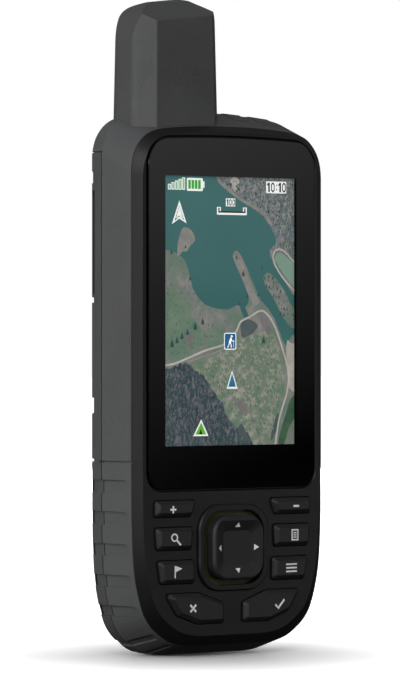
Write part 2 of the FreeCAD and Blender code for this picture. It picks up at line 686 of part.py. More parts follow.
def power_button():
    """The side button with the flange that keeps it in."""
    half_y, half_z = POWER_HALF
    bar = box(POWER_FLANGE_X[0], POWER_FACE_X, POWER_Y - half_y, POWER_Y + half_y,
              POWER_Z - half_z, POWER_Z + half_z)
    bar = bar.makeFillet(half_y * 0.9, [edge for edge in bar.Edges if edge.BoundBox.XLength > 1])
    bar = bar.makeFillet(0.3, [edge for edge in bar.Edges if edge.BoundBox.XMin > POWER_FACE_X - 0.01])
    flange = box(*POWER_FLANGE_X, POWER_Y - half_y - 0.5, POWER_Y + half_y + 0.5,
                 POWER_Z - half_z - 0.7, POWER_Z + half_z + 0.7)
    return union([bar, flange])


def power_switch():
    """The switch on the main board behind the side button."""
    return box(*SWITCH)


def cap_sites():
    """The two covered sockets on the back."""
    return (PORT_X, JACK_X)


def rear_grooves():
    """Grooves and notches in the skin of both sides of the rear housing."""
    cuts = []
    for depth, y0, y1, z0, z1 in (REAR_GROOVE,) + REAR_NOTCHES:
        bar = box(-HALF_W - MARGIN, HALF_W + MARGIN, y0, y1, z0, z1)
        cuts.append(bar.cut(rear_solid(-depth)).cut(box(-BAY_HALF, BAY_HALF, y0, y1, z0, z1)))
    return cuts


def rear_housing(cutters):
    """The back half with the battery bay and the cavity for the sockets."""
    shell = rear_solid(0)
    bay = rounded_plate(rectangle(BAY_HALF, *BAY_Z), BAY_Y, BACK_Y + MARGIN, BAY_R)
    inner = hollow(REAR_SECTIONS, [TOP_BODY] * len(REAR_SECTIONS), -WALL)
    pocket = box(*SIDE_POCKET)
    rooms = [room.common(inner) for room in (pocket, mirrored(pocket), box(*TOP_CAVITY))]
    shell = shell.cut([bay] + rooms)
    shell = union([shell] + [box(*rib) for rib in CONTACT_RIBS])
    cuts = list(cutters)
    for x in cap_sites():
        recess = rectangle(CAP_RECESS_HALF, CAP_Z - CAP_RECESS_HALF, CAP_HINGE_Z + CAP_BARREL_R + 0.3, x)
        cuts.append(rounded_plate(recess, CAP_RECESS_Y, BACK_Y + MARGIN, CAP_R + FIT_GAP))
        half_x, half_z = PLUG_HALF
        window = rectangle(half_x + PLUG_GAP, CAP_Z - half_z - PLUG_GAP, CAP_Z + half_z + PLUG_GAP, x)
        cuts.append(plate(window, TOP_CAVITY[3] - 0.5, CAP_RECESS_Y + 0.1))
        cuts.append(rod((x - CAP_BARREL_HALF - FIT_GAP, CAP_HINGE_Y, CAP_HINGE_Z), (1, 0, 0),
                        CAP_BARREL_R + 0.25, 2 * (CAP_BARREL_HALF + FIT_GAP)))
        cuts.append(rod((x - CAP_RECESS_HALF - 0.9, CAP_HINGE_Y, CAP_HINGE_Z), (1, 0, 0),
                        CAP_PIN_R, 2 * CAP_RECESS_HALF + 1.8))
    cuts.append(rod((TORCH_X, TORCH_Y[0] - MARGIN, TORCH_Z), (0, 1, 0), TORCH_R, 2 * MARGIN + 3))
    for z in SCREW_Z:
        for side in (-1, 1):
            cuts.append(rod((side * SCREW_X, BAND_SEAM_Y - 1, z), (0, 1, 0), SCREW_R + 0.1, BACK_Y + MARGIN))
            cuts.append(rod((side * SCREW_X, BACK_Y - SCREW_SINK - SCREW_HEAD_T, z), (0, 1, 0),
                            SCREW_HEAD_R + 0.1, MARGIN))
    return below_cap(shell).cut(cuts + rear_grooves())


def mounting_spine():
    """The T-shaped rail that a belt clip or mount slides on."""
    web = box(-SPINE_WEB_HALF, SPINE_WEB_HALF, BACK_Y + 0.02, SPINE_HEAD_Y[0] + 0.2, *SPINE_Z)
    head = box(-SPINE_HEAD_HALF, SPINE_HEAD_HALF, *SPINE_HEAD_Y, *SPINE_Z)
    head = head.makeChamfer(0.7, [edge for edge in head.Edges if edge.BoundBox.YMin > SPINE_HEAD_Y[1] - 0.01])
    return union([web, head])


def display_window():
    """The clear front plate."""
    glass = window_shape(0, WINDOW_Y, WINDOW_Y + WINDOW_T)
    rim = [edge for edge in glass.Edges if edge.BoundBox.YMax < WINDOW_Y + 0.01]
    return glass.makeChamfer(0.2, rim)


def window_gasket():
    """The thin frame that sticks the window down."""
    y0 = WINDOW_Y + WINDOW_T
    y1 = y0 + WINDOW_GASKET_T
    x0, x1, _, _, z0, z1 = PANEL
    return window_shape(0, y0, y1).cut(box(x0 - 0.3, x1 + 0.3, y0 - 1, y1 + 1, z0 - 0.3, z1 + 0.3))


def display_panel():
    """The display behind the window."""
    return box(*PANEL)


def backlight_tray():
    """The shallow tray that carries the display."""
    x0, x1, y0, y1, z0, z1 = TRAY
    wall = TRAY_WALL
    return box(*TRAY).cut(box(x0 + wall, x1 - wall, y0 + wall, y1 + 1, z0 + wall, z1 - wall))


def keypad_mat():
    """The rubber sheet under the keys, with a hole for the rocker."""
    y0, y1, z0, z1 = MAT
    sheet = slab(grown(SEAM_SECTION, -MAT_INSET), y0, y1, z0, z1)
    return sheet.cut(rod((0, y0 - 1, ROCKER_Z), (0, 1, 0), MAT_HOLE_R, MARGIN))


def rounded_wire(points, grow, y, radius):
    """A key's outline with rounded corners at one depth."""
    corners = [vec(x, y, z) for x, z in points]
    ring = Part.makePolygon(corners + corners[:1])
    if grow:
        ring = ring.makeOffset2D(grow, 2)
    flat = Part.Face(ring).extrude(vec(0, 1, 0))
    flat = flat.makeFillet(radius, upright_edges(flat))
    front = [face for face in flat.Faces if face.BoundBox.YMax < y + 0.01]
    return front[0].OuterWire


def key(points):
    """A key cap with bevelled edges and a flange behind the face."""
    shoulder = KEY_TOP_Y + KEY_BEVEL_DEPTH
    wires = [rounded_wire(points, 0, shoulder, KEY_CORNER_R),
             rounded_wire(points, -KEY_BEVEL, KEY_TOP_Y, KEY_CORNER_R / 2)]
    top = Part.makeLoft(wires, True, True)
    stem = key_shape(points, 0, shoulder, KEY_BACK_Y)
    flange = key_shape(points, KEY_FLANGE_W, KEY_BACK_Y - KEY_FLANGE_T, KEY_BACK_Y)
    return union([top, stem, flange])


def tilted_block(y0, half0, y1, half1, radius):
    """A square block that narrows from one depth to another."""
    wires = []
    for y, half in ((y0, half0), (y1, half1)):
        flat = square_plate(half, radius * half / half0, y, y + 1)
        front = [face for face in flat.Faces if face.BoundBox.YMax < y + 0.01]
        wires.append(front[0].OuterWire)
    return Part.makeLoft(wires, True, True)


def rocker_cap():
    """The dished cap with its stem, hub and two trunnions."""
    cap = square_plate(ROCKER_HALF, ROCKER_R, ROCKER_RIM_Y, ROCKER_BACK_Y)
    rim = [edge for edge in cap.Edges if edge.BoundBox.YMax < ROCKER_RIM_Y + 0.01]
    cap = cap.makeChamfer(0.5, rim)
    dish = tilted_block(ROCKER_DISH_Y, ROCKER_DISH_HALF, ROCKER_RIM_Y - 0.01, ROCKER_HALF - ROCKER_RIM_W, 1.2)
    cap = cap.cut(dish)
    hub = rod((0, HUB_Y[0], ROCKER_Z), (0, 1, 0), HUB_R, HUB_Y[1] - HUB_Y[0])
    stem = rod((0, ROCKER_BACK_Y - 0.1, ROCKER_Z), (0, 1, 0), ROCKER_STEM_R, ROCKER_PIVOT_Y - ROCKER_BACK_Y)
    reach = (GIMBAL_IN_R + GIMBAL_OUT_R) / 2
    pin = rod((0, ROCKER_PIVOT_Y, ROCKER_Z - reach), (0, 0, 1), GIMBAL_PIN_R, 2 * reach)
    return union([cap, stem, hub, pin])


def rocker_carrier():
    """The gimbal ring between the cap and its base."""
    y0 = ROCKER_PIVOT_Y - GIMBAL_T / 2
    ring = rod((0, y0, ROCKER_Z), (0, 1, 0), GIMBAL_OUT_R, GIMBAL_T)
    ring = ring.cut(rod((0, y0 - 1, ROCKER_Z), (0, 1, 0), GIMBAL_IN_R, GIMBAL_T + 2))
    reach = (GIMBAL_SEAT_R + POST_OUT_R) / 2
    pin = rod((-reach, ROCKER_PIVOT_Y, ROCKER_Z), (1, 0, 0), GIMBAL_PIN_R, 2 * reach)
    ring = ring.fuse(pin).cut(rod((0, y0 - 1, ROCKER_Z), (0, 1, 0), GIMBAL_IN_R, GIMBAL_T + 2))
    seat = rod((0, ROCKER_PIVOT_Y, ROCKER_Z - POST_OUT_R), (0, 0, 1), GIMBAL_PIN_R + PIN_GAP, 2 * POST_OUT_R)
    return ring.cut(seat)


def rocker_base():
    """The two posts that carry the gimbal ring."""
    pin = rod((-POST_OUT_R - 1, ROCKER_PIVOT_Y, ROCKER_Z), (1, 0, 0),
              GIMBAL_PIN_R + PIN_GAP, 2 * POST_OUT_R + 2)
    posts = []
    for side in (-1, 1):
        x0, x1 = sorted((side * GIMBAL_SEAT_R, side * POST_OUT_R))
        posts.append(box(x0, x1, ROCKER_PIVOT_Y - 0.9, BOARD[0] - 0.02, ROCKER_Z - 1.2, ROCKER_Z + 1.2))
    floor = rod((0, BOARD[0] - 0.17, ROCKER_Z), (0, 1, 0), POST_OUT_R + 0.2, 0.15)
    floor = floor.cut(rod((0, BOARD[0] - 1, ROCKER_Z), (0, 1, 0), GIMBAL_OUT_R, 2))
    return union(posts + [floor]).cut(pin)


def rocker_ring():
    """The coloured plate seen round the cap."""
    ring = square_plate(ROCKER_OPEN_HALF - 0.02, ROCKER_OPEN_R, RING_Y, RING_Y + RING_T)
    return ring.cut(rod((0, RING_Y - 1, ROCKER_Z), (0, 1, 0), RING_HOLE_R, MARGIN))


def key_domes():
    """The snap domes on the board, one behind each key and four round the rocker."""
    sites = []
    for _, points in key_pairs():
        sites.append((sum(x for x, _ in points) / len(points), sum(z for _, z in points) / len(points)))
    domes = []
    for x, z in sites:
        dome = Part.makeCone(DOME_R, DOME_R * 0.6, DOME_H, vec(x, BOARD[0] - 0.02, z), vec(0, -1, 0))
        domes.append(dome)
    return domes


def main_board():
    """The main circuit board, with the outline of the body."""
    y0, y1, z0, z1 = BOARD
    board = slab(grown(SEAM_SECTION, -BOARD_INSET), y0, y1, z0, z1)
    holes = [rod((side * x, y0 - 1, z), (0, 1, 0), BOARD_SCREW_R + 0.1, MARGIN)
             for x, z in BOARD_SCREWS for side in (-1, 1)]
    return board.cut(holes)


def board_screws():
    """The small screws that hold the main board."""
    screws = []
    for x, z in BOARD_SCREWS:
        for side in (-1, 1):
            shank = rod((side * x, BOARD_SCREW_TIP_Y, z), (0, 1, 0), BOARD_SCREW_R - 0.02,
                        BOARD[1] - BOARD_SCREW_TIP_Y + 0.1)
            head = rod((side * x, BOARD[1] + 0.02, z), (0, 1, 0), BOARD_SCREW_HEAD_R, BOARD_SCREW_HEAD_T)
            screws.append(union([shank, head]))
    return screws


def housing_screws():
    """The screws under the battery door that hold the halves together."""
    screws = []
    seat = BACK_Y - SCREW_SINK - SCREW_HEAD_T + 0.02
    for z in SCREW_Z:
        for side in (-1, 1):
            shank = rod((side * SCREW_X, SCREW_TIP_Y, z), (0, 1, 0), SCREW_R - 0.02, seat - SCREW_TIP_Y + 0.1)
            head = rod((side * SCREW_X, seat, z), (0, 1, 0), SCREW_HEAD_R, SCREW_HEAD_T - 0.04)
            slot = box(side * SCREW_X - 0.3, side * SCREW_X + 0.3, seat + SCREW_HEAD_T - 0.6, BACK_Y + 1,
                       z - SCREW_HEAD_R, z + SCREW_HEAD_R)
            screws.append(union([shank, head]).cut(slot))
    return screws


def rf_shield():
    """The folded can over the radio parts."""
    x0, x1, y0, y1, z0, z1 = SHIELD
    wall = SHIELD_WALL
    return box(*SHIELD).cut(box(x0 + wall, x1 - wall, y0 - 1, y1 - wall, z0 + wall, z1 - wall))


def buzzer():
    """The round sounder with its small hole."""
    x, z = BUZZER
    drum = rod((x, BUZZER_Y[0], z), (0, 1, 0), BUZZER_R, BUZZER_Y[1] - BUZZER_Y[0])
    return drum.cut(rod((x, BUZZER_Y[1] - 1.0, z), (0, 1, 0), 0.9, 2.0))


def io_board():
    """The small board behind the sockets."""
    z0, z1 = IO_BOARD[4:]
    board = box(*IO_BOARD)
    return board.cut(rod((CORE_XY[0], CORE_PIN_Y, z0 - 1), (0, 0, 1), CORE_PIN_R + 0.2, z1 - z0 + 2))


def cable_port():
    """The flat cable socket with its tongue."""
    half_x, half_z = PORT_HALF
    y0, y1 = PORT_Y
    wall = PORT_WALL
    shell = rounded_plate(rectangle(half_x, CAP_Z - half_z, CAP_Z + half_z, PORT_X), y0 + 0.02, y1, 0.8)
    room = rounded_plate(rectangle(half_x - wall, CAP_Z - half_z + wall, CAP_Z + half_z - wall, PORT_X),
                         y0 + 1.5, y1 + 1, 0.5)
    tongue_x, tongue_z, tongue_y = TONGUE
    tongue = box(PORT_X - tongue_x, PORT_X + tongue_x, y0 + 1.0, tongue_y, CAP_Z - tongue_z, CAP_Z + tongue_z)
    return union([shell.cut(room), tongue])


def aerial_jack():
    """The round socket for an outside antenna."""
    y0, y1 = PORT_Y
    barrel = rod((JACK_X, y0 + 0.02, CAP_Z), (0, 1, 0), JACK_R, y1 - y0 - 0.02)
    return barrel.cut(rod((JACK_X, y1 - JACK_BORE_DEPTH, CAP_Z), (0, 1, 0), JACK_BORE_R, MARGIN * 2))


def socket_cap(x):
    """A rubber cap with a plug and a hinge barrel at its top."""
    flat = rounded_plate(rectangle(CAP_HALF, CAP_Z - CAP_HALF, CAP_Z + CAP_HALF - 1.2, x), *CAP_Y, CAP_R)
    neck = box(x - CAP_BARREL_HALF, x + CAP_BARREL_HALF, CAP_Y[0], CAP_Y[1] - 0.15,
               CAP_Z + CAP_HALF - 2.0, CAP_HINGE_Z)
    barrel = rod((x - CAP_BARREL_HALF, CAP_HINGE_Y, CAP_HINGE_Z), (1, 0, 0), CAP_BARREL_R, 2 * CAP_BARREL_HALF)
    half_x, half_z = PLUG_HALF
    plug = box(x - half_x, x + half_x, CAP_Y[0] - PLUG_DEPTH, CAP_Y[0] + 0.1, CAP_Z - half_z, CAP_Z + half_z)
    lift = box(x - 1.5, x + 1.5, CAP_Y[0] + 0.2, CAP_Y[1], CAP_Z - CAP_HALF - 0.2, CAP_Z - CAP_HALF + 1.0)
    pin = rod((x - CAP_HALF - 1.0, CAP_HINGE_Y, CAP_HINGE_Z), (1, 0, 0), CAP_PIN_R + PIN_GAP, 2 * CAP_HALF + 2)
    return union([flat, neck, barrel, plug]).cut([pin, lift])


def cap_pins():
    """The pins the socket caps turn on."""
    return [rod((x - CAP_RECESS_HALF - 0.8, CAP_HINGE_Y, CAP_HINGE_Z), (1, 0, 0), CAP_PIN_R - 0.02,
                2 * CAP_RECESS_HALF + 1.6) for x in cap_sites()]


def torch_lens():
    """The clear lens of the torch."""
    lens = rod((TORCH_X, TORCH_Y[0], TORCH_Z), (0, 1, 0), TORCH_R - 0.02, TORCH_Y[1] - TORCH_Y[0])
    return lens.makeFillet(0.3, [edge for edge in lens.Edges if edge.BoundBox.YMin > TORCH_Y[1] - 0.01])


def torch_lamp():
    """The small lamp on the board."""
    lamp = box(TORCH_X - LED_HALF, TORCH_X + LED_HALF, *LED_Y, TORCH_Z - LED_HALF, TORCH_Z + LED_HALF)
    return lamp


def battery_door():
    """The lid over the battery bay, with the lip that enters the bay and the seat of the latch."""
    back = REAR_SECTIONS[-1]
    sections = [at_depth(grown(back, inset), y) for y, inset in zip(DOOR_Y, DOOR_INSET)]
    lid = body(sections, [TOP_BODY] * len(sections))
    lid = lid.common(box(-HALF_W, HALF_W, 0, HALF_W, 0, DOOR_TOP_Z))
    half = BAY_HALF - DOOR_LIP_GAP
    low, high = BAY_Z[0] + DOOR_LIP_GAP, BAY_Z[1] - DOOR_LIP_GAP
    wall = DOOR_LIP_WALL
    edge = rounded_plate(rectangle(half, low, high), DOOR_LIP_Y, DOOR_Y[0] + 0.2, BAY_R)
    room = rounded_plate(rectangle(half - wall, low + wall, high - wall),
                         DOOR_LIP_Y - 1, DOOR_Y[0], BAY_R - 0.8)
    groove = seal_ring(0.0, 1.0)
    lid = union([lid, edge.cut(room)]).cut(groove)
    recess = rod((0, LATCH_FLOOR_Y, LATCH_Z), (0, 1, 0), LATCH_R + LATCH_GAP, MARGIN)
    bore = rod((0, 0, LATCH_Z), (0, 1, 0), LATCH_SHAFT_R + PIN_GAP, HALF_W)
    return lid.cut([recess, bore])


def seal_ring(thinner, wider):
    """The ring that the door gasket fills."""
    y0, y1 = DOOR_SEAL_Y
    half = BAY_HALF - DOOR_SEAL_GAP + wider
    low, high = BAY_Z[0] + DOOR_SEAL_GAP - wider, BAY_Z[1] - DOOR_SEAL_GAP + wider
    depth = DOOR_SEAL_GAP + wider - thinner + 0.45
    ring = rounded_plate(rectangle(half, low, high), y0, y1, BAY_R + wider)
    room = rounded_plate(rectangle(half - depth, low + depth, high - depth), y0 - 1, y1 + 1, BAY_R - 0.5)
    return ring.cut(room)


def door_gasket():
    """The rubber seal round the door's lip."""
    return seal_ring(0.0, 0.0)


def latch_knob():
    """The turn knob with its shaft, tongue and the two ears for the ring."""
    disc = rod((0, LATCH_Y[0], LATCH_Z), (0, 1, 0), LATCH_R, LATCH_Y[1] - LATCH_Y[0])
    disc = disc.makeChamfer(0.3, [edge for edge in disc.Edges if edge.BoundBox.YMin > LATCH_Y[1] - 0.01])
    shaft = rod((0, LATCH_TONGUE_Y[0], LATCH_Z), (0, 1, 0),
                LATCH_SHAFT_R, LATCH_Y[0] + 0.1 - LATCH_TONGUE_Y[0])
    half_x, half_z = LATCH_TONGUE_HALF
    tongue = box(-half_x, half_x, *LATCH_TONGUE_Y, LATCH_Z - half_z, LATCH_Z + half_z)
    ears = []
    for side in (-1, 1):
        x0, x1 = sorted((side * EAR_X[0], side * EAR_X[1]))
        ears.append(box(x0, x1, LATCH_Y[1] - 0.1, EAR_Y, LATCH_Z - EAR_HALF, LATCH_Z + EAR_HALF))
    hole = rod((-LATCH_R, RING_PIVOT_Y, LATCH_Z), (1, 0, 0), RING_PIN_R, 2 * LATCH_R)
    return union([disc, shaft, tongue] + ears).cut(hole)


def latch_pin():
    """The pin through the ears that the ring turns on."""
    return rod((-D_HALF - 0.4, RING_PIVOT_Y, LATCH_Z), (1, 0, 0), RING_PIN_R - 0.01, 2 * D_HALF + 0.8)


def latch_ring():
    """The folding wire ring."""
    x, top = D_HALF, LATCH_Z + D_TOP
    bend = D_BEND_R
    slant = D_HALF - bend * (1 - math.cos(math.pi / 4))
    y = RING_PIVOT_Y
    path = Part.Wire([
        Part.makeLine(vec(-x, y, LATCH_Z - 0.6), vec(-x, y, top - bend)),
        Part.Arc(vec(-x, y, top - bend), vec(-slant, y, top - bend + bend * math.sin(math.pi / 4)),
                 vec(-x + bend, y, top)).toShape(),
        Part.makeLine(vec(-x + bend, y, top), vec(x - bend, y, top)),
        Part.Arc(vec(x - bend, y, top), vec(slant, y, top - bend + bend * math.sin(math.pi / 4)),
                 vec(x, y, top - bend)).toShape(),
        Part.makeLine(vec(x, y, top - bend), vec(x, y, LATCH_Z - 0.6)),
    ])
    ring = Part.Wire(Part.makeCircle(D_WIRE_R, vec(-x, y, LATCH_Z - 0.6), vec(0, 0, 1)))
    wire = path.makePipeShell([ring], True, True)
    eyes = [rod((side * x - 0.7, y, LATCH_Z), (1, 0, 0), D_EYE_R, 1.4) for side in (-1, 1)]
    hole = rod((-D_HALF - 1, y, LATCH_Z), (1, 0, 0), RING_PIN_R + PIN_GAP, 2 * D_HALF + 2)
    return union([wire] + eyes).cut(hole)


def cell(x, upright):
    """A round battery with its raised end up or down."""
    low, high = CELL_Z
    can = rod((0, 0, low), (0, 0, 1), CELL_R, high - low)
    can = can.makeChamfer(CELL_EDGE, [edge for edge in can.Edges if edge.BoundBox.ZLength < 0.01])
    nub = rod((0, 0, high - 0.1), (0, 0, 1), CELL_NUB_R, CELL_NUB_H + 0.1)
    whole = union([can, nub])
    if not upright:
        whole.rotate(vec(0, 0, (low + high) / 2), vec(1, 0, 0), 180)
    return moved(whole, x, CELL_Y, 0)


def contact_plates():
    """The spring plate at the foot and the two pads at the head of the bay."""
    y0, y1, z0, z1 = HIGH_CONTACT
    pads = [box(side * CELL_X - HIGH_CONTACT_HALF, side * CELL_X + HIGH_CONTACT_HALF, y0, y1, z0, z1)
            for side in (-1, 1)]
    return [box(*LOW_CONTACT)] + pads


def contact_springs():
    """The coil behind the foot of each battery."""
    low = LOW_CONTACT[5] + COIL_WIRE_R + 0.02
    coils = []
    for x, end in ((-CELL_X, CELL_Z[0]), (CELL_X, CELL_Z[0] - CELL_NUB_H)):
        height = end - low - COIL_WIRE_R - 0.05
        coils.append(helix_wire(x, CELL_Y, low, COIL_R, height / COIL_TURNS, height, COIL_WIRE_R, 0))
    return coils


def card_holder():
    """The metal hood over the memory card."""
    card_x0, card_x1, card_y0, card_y1, _, card_z1 = CARD
    gap = HOLDER_GAP
    slot = box(card_x0 - gap, card_x1 + gap, card_y0 - gap, card_y1 + gap, HOLDER[4] - 1, card_z1 + gap)
    return box(*HOLDER).cut(slot)


def memory_card():
    """The small card in its hood, with a clipped corner."""
    x0, x1, y0, y1, z0, z1 = CARD
    points = ((x0, z0), (x1, z0), (x1, z1 - 1.5), (x1 - 1.5, z1), (x0, z1))
    return plate(points, y0, y1)


def export(name, shape):
    """Write one node, made of one solid or of several alike."""
    solids = shape if isinstance(shape, list) else [shape]
    solids = [solid for item in solids for solid in item.Solids]
    whole = solids[0] if len(solids) == 1 else Part.makeCompound(solids)
    whole.exportStep(os.path.join("parts", name + ".step"))


def main():
    """Build every node."""
    os.makedirs("parts", exist_ok=True)
    cutters = grip_cutters()
    export("front_housing", front_housing())
    export("mid_housing", mid_housing(cutters))
    export("rear_housing", rear_housing(cutters))
    export("housing_gasket", housing_gasket())
    export("antenna_cover", antenna_cover())
    export("antenna_core", antenna_core())
    export("antenna_helix", antenna_helix())
    export("display_window", display_window())
    export("window_gasket", window_gasket())
    export("display_panel", display_panel())
    export("backlight_tray", backlight_tray())
    export("keypad_mat", keypad_mat())
    for name, points in key_pairs():
        export("key_" + name, key(points))
    export("rocker_cap", rocker_cap())
    export("rocker_carrier", rocker_carrier())
    export("rocker_base", rocker_base())
    export("rocker_ring", rocker_ring())
    export("key_domes", key_domes())
    export("main_board", main_board())
    export("board_screws", board_screws())
    export("housing_screws", housing_screws())
    export("rf_shield", rf_shield())
    export("buzzer", buzzer())
    export("power_button", power_button())
    export("power_switch", power_switch())
    export("io_board", io_board())
    export("cable_port", cable_port())
    export("aerial_jack", aerial_jack())
    export("port_cap", socket_cap(PORT_X))
    export("jack_cap", socket_cap(JACK_X))
    export("cap_pins", cap_pins())
    export("torch_lens", torch_lens())
    export("torch_lamp", torch_lamp())
    export("mounting_spine", mounting_spine())
    export("battery_door", battery_door())
    export("door_gasket", door_gasket())
    export("latch_knob", latch_knob())
    export("latch_pin", latch_pin())
    export("latch_ring", latch_ring())
    export("battery_left", cell(-CELL_X, True))
    export("battery_right", cell(CELL_X, False))
    export("contact_plates", contact_plates())
    export("contact_springs", contact_springs())
    export("card_holder", card_holder())
    export("memory_card", memory_card())


main()
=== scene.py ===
import json
import math
import random

import bmesh
import bpy
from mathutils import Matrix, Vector
from mathutils.geometry import tessellate_polygon


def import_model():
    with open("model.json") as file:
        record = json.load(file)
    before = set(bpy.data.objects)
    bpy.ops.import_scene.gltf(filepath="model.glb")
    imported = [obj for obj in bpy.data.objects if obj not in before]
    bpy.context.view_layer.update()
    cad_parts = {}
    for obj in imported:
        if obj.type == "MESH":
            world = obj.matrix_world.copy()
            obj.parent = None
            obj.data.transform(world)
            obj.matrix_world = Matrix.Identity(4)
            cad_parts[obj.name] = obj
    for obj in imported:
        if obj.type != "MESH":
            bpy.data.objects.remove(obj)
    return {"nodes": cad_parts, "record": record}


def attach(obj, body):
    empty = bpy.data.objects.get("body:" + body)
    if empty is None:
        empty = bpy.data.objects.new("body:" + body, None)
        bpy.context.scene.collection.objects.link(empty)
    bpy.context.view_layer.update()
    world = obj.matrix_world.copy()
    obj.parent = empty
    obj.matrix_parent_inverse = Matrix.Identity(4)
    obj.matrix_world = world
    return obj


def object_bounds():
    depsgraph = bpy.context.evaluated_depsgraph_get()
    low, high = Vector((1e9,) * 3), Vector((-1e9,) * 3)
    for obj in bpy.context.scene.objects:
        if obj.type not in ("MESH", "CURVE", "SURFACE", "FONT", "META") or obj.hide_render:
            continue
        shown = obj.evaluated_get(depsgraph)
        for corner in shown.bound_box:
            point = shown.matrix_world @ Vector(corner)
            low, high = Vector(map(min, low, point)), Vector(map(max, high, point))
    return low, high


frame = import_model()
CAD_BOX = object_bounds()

MM = 0.001
CASE = "case"
nodes = frame["nodes"]
random.seed(11)

# ---- planes that the pieces below are set on, in mm: they match the CAD model
PANEL_Y = -13.9
KEY_TOP_Y = -16.05
ROCKER_Z = 26.9
RIM_Y = -17.5
VIEW_X = (-20.85, 19.95)
VIEW_Z = (52.15, 118.6)


# ------------------------------------------------------------------ materials
def new_material(name):
    """A node material with its tree and its Principled shader."""
    mat = bpy.data.materials.new(name)
    mat.use_nodes = True
    tree = mat.node_tree
    return mat, tree, tree.nodes["Principled BSDF"]


def put(tree, kind, **values):
    """A node with some of its properties set."""
    node = tree.nodes.new(kind)
    for key, value in values.items():
        setattr(node, key, value)
    return node


def grain(tree, scale, detail=3.0, rough=0.55, stretch=None):
    """Noise over the object's own coordinates."""
    coords = put(tree, "ShaderNodeTexCoord")
    noise = put(tree, "ShaderNodeTexNoise")
    noise.inputs["Scale"].default_value = scale
    noise.inputs["Detail"].default_value = detail
    noise.inputs["Roughness"].default_value = rough
    source = coords.outputs["Object"]
    if stretch:
        mapping = put(tree, "ShaderNodeMapping")
        mapping.inputs["Scale"].default_value = stretch
        tree.links.new(source, mapping.inputs["Vector"])
        source = mapping.outputs["Vector"]
    tree.links.new(source, noise.inputs["Vector"])
    return noise


def ramp(tree, factor, *stops):
    """A colour ramp: each stop is (position, colour)."""
    node = put(tree, "ShaderNodeValToRGB")
    points = node.color_ramp.elements
    while len(points) < len(stops):
        points.new(0.5)
    for point, (position, colour) in zip(points, stops):
        point.position = position
        point.color = tuple(colour) + (1.0,)
    tree.links.new(factor, node.inputs["Fac"])
    return node.outputs["Color"]


def grey(value, tint=(1.0, 1.0, 1.0)):
    """A nearly neutral colour."""
    return tuple(value * part for part in tint)


def scaled(colour, amount):
    """A colour made lighter or darker."""
    return tuple(part * amount for part in colour)


def add_bump(tree, shader, height, strength, distance, normal=None):
    """Relief from a height, on top of any earlier relief."""
    bump = put(tree, "ShaderNodeBump")
    bump.inputs["Strength"].default_value = strength
    bump.inputs["Distance"].default_value = distance
    tree.links.new(height, bump.inputs["Height"])
    if normal:
        tree.links.new(normal, bump.inputs["Normal"])
    tree.links.new(bump.outputs["Normal"], shader.inputs["Normal"])
    return bump.outputs["Normal"]


SLOW_SHARE = 0.4


def moulded(name, colour, rough, spread=0.12, pits=2600.0, relief=0.16, specular=0.5, wear_and_edge_highlight=0.0, coat=0.0):
    """Moulded plastic or rubber: fine grain, slow changes of tone, and paler edges, partly rubbed wear and
    partly a painted highlight along the edges.
    """
    mat, tree, shader = new_material(name)
    slow = grain(tree, 60.0, 4.0)
    fine = grain(tree, pits, 2.0, 0.6)
    share = put(tree, "ShaderNodeMath", operation="MULTIPLY")
    share.inputs[1].default_value = SLOW_SHARE
    speckle = put(tree, "ShaderNodeMath", operation="MULTIPLY_ADD")
    speckle.inputs[1].default_value = 1 - SLOW_SHARE
    tree.links.new(slow.outputs["Fac"], share.inputs[0])
    tree.links.new(fine.outputs["Fac"], speckle.inputs[0])
    tree.links.new(share.outputs[0], speckle.inputs[2])
    tone = ramp(tree, speckle.outputs[0],
                (0.35, scaled(colour, 1 - spread)), (0.65, scaled(colour, 1 + spread)))
    # paler convex edges: partly rubbed wear, partly a painted edge highlight where light catches them
    if wear_and_edge_highlight:
        geometry = put(tree, "ShaderNodeNewGeometry")
        edge = ramp(tree, geometry.outputs["Pointiness"], (0.505, (0, 0, 0)), (0.56, (1, 1, 1)))
        scuff_and_highlight = put(tree, "ShaderNodeMath", operation="MULTIPLY")
        tree.links.new(edge, scuff_and_highlight.inputs[0])
        tree.links.new(slow.outputs["Fac"], scuff_and_highlight.inputs[1])
        mix = put(tree, "ShaderNodeMix", data_type="RGBA")
        mix.inputs["B"].default_value = scaled(colour, 1 + wear_and_edge_highlight) + (1.0,)
        tree.links.new(scuff_and_highlight.outputs[0], mix.inputs["Factor"])
        tree.links.new(tone, mix.inputs["A"])
        tone = mix.outputs["Result"]
    tree.links.new(tone, shader.inputs["Base Color"])
    shine = put(tree, "ShaderNodeMapRange")
    shine.inputs["To Min"].default_value = rough - 0.06
    shine.inputs["To Max"].default_value = rough + 0.06
    tree.links.new(slow.outputs["Fac"], shine.inputs["Value"])
    tree.links.new(shine.outputs["Result"], shader.inputs["Roughness"])
    shader.inputs["Specular IOR Level"].default_value = specular
    shader.inputs["Coat Weight"].default_value = coat
    add_bump(tree, shader, fine.outputs["Fac"], relief, 0.00006)
    return mat


def brushed(name, colour, rough, axis=(1.0, 1.0, 30.0)):
    """Drawn or rolled metal with fine lines along one direction."""
    mat, tree, shader = new_material(name)
    lines = grain(tree, 500.0, 3.0, 0.6, axis)
    tone = ramp(tree, lines.outputs["Fac"], (0.3, scaled(colour, 0.82)), (0.7, scaled(colour, 1.08)))
    tree.links.new(tone, shader.inputs["Base Color"])
    shine = put(tree, "ShaderNodeMapRange")
    shine.inputs["To Min"].default_value = rough - 0.08
    shine.inputs["To Max"].default_value = rough + 0.1
    tree.links.new(lines.outputs["Fac"], shine.inputs["Value"])
    tree.links.new(shine.outputs["Result"], shader.inputs["Roughness"])
    shader.inputs["Metallic"].default_value = 1.0
    add_bump(tree, shader, lines.outputs["Fac"], 0.1, 0.00003)
    return mat


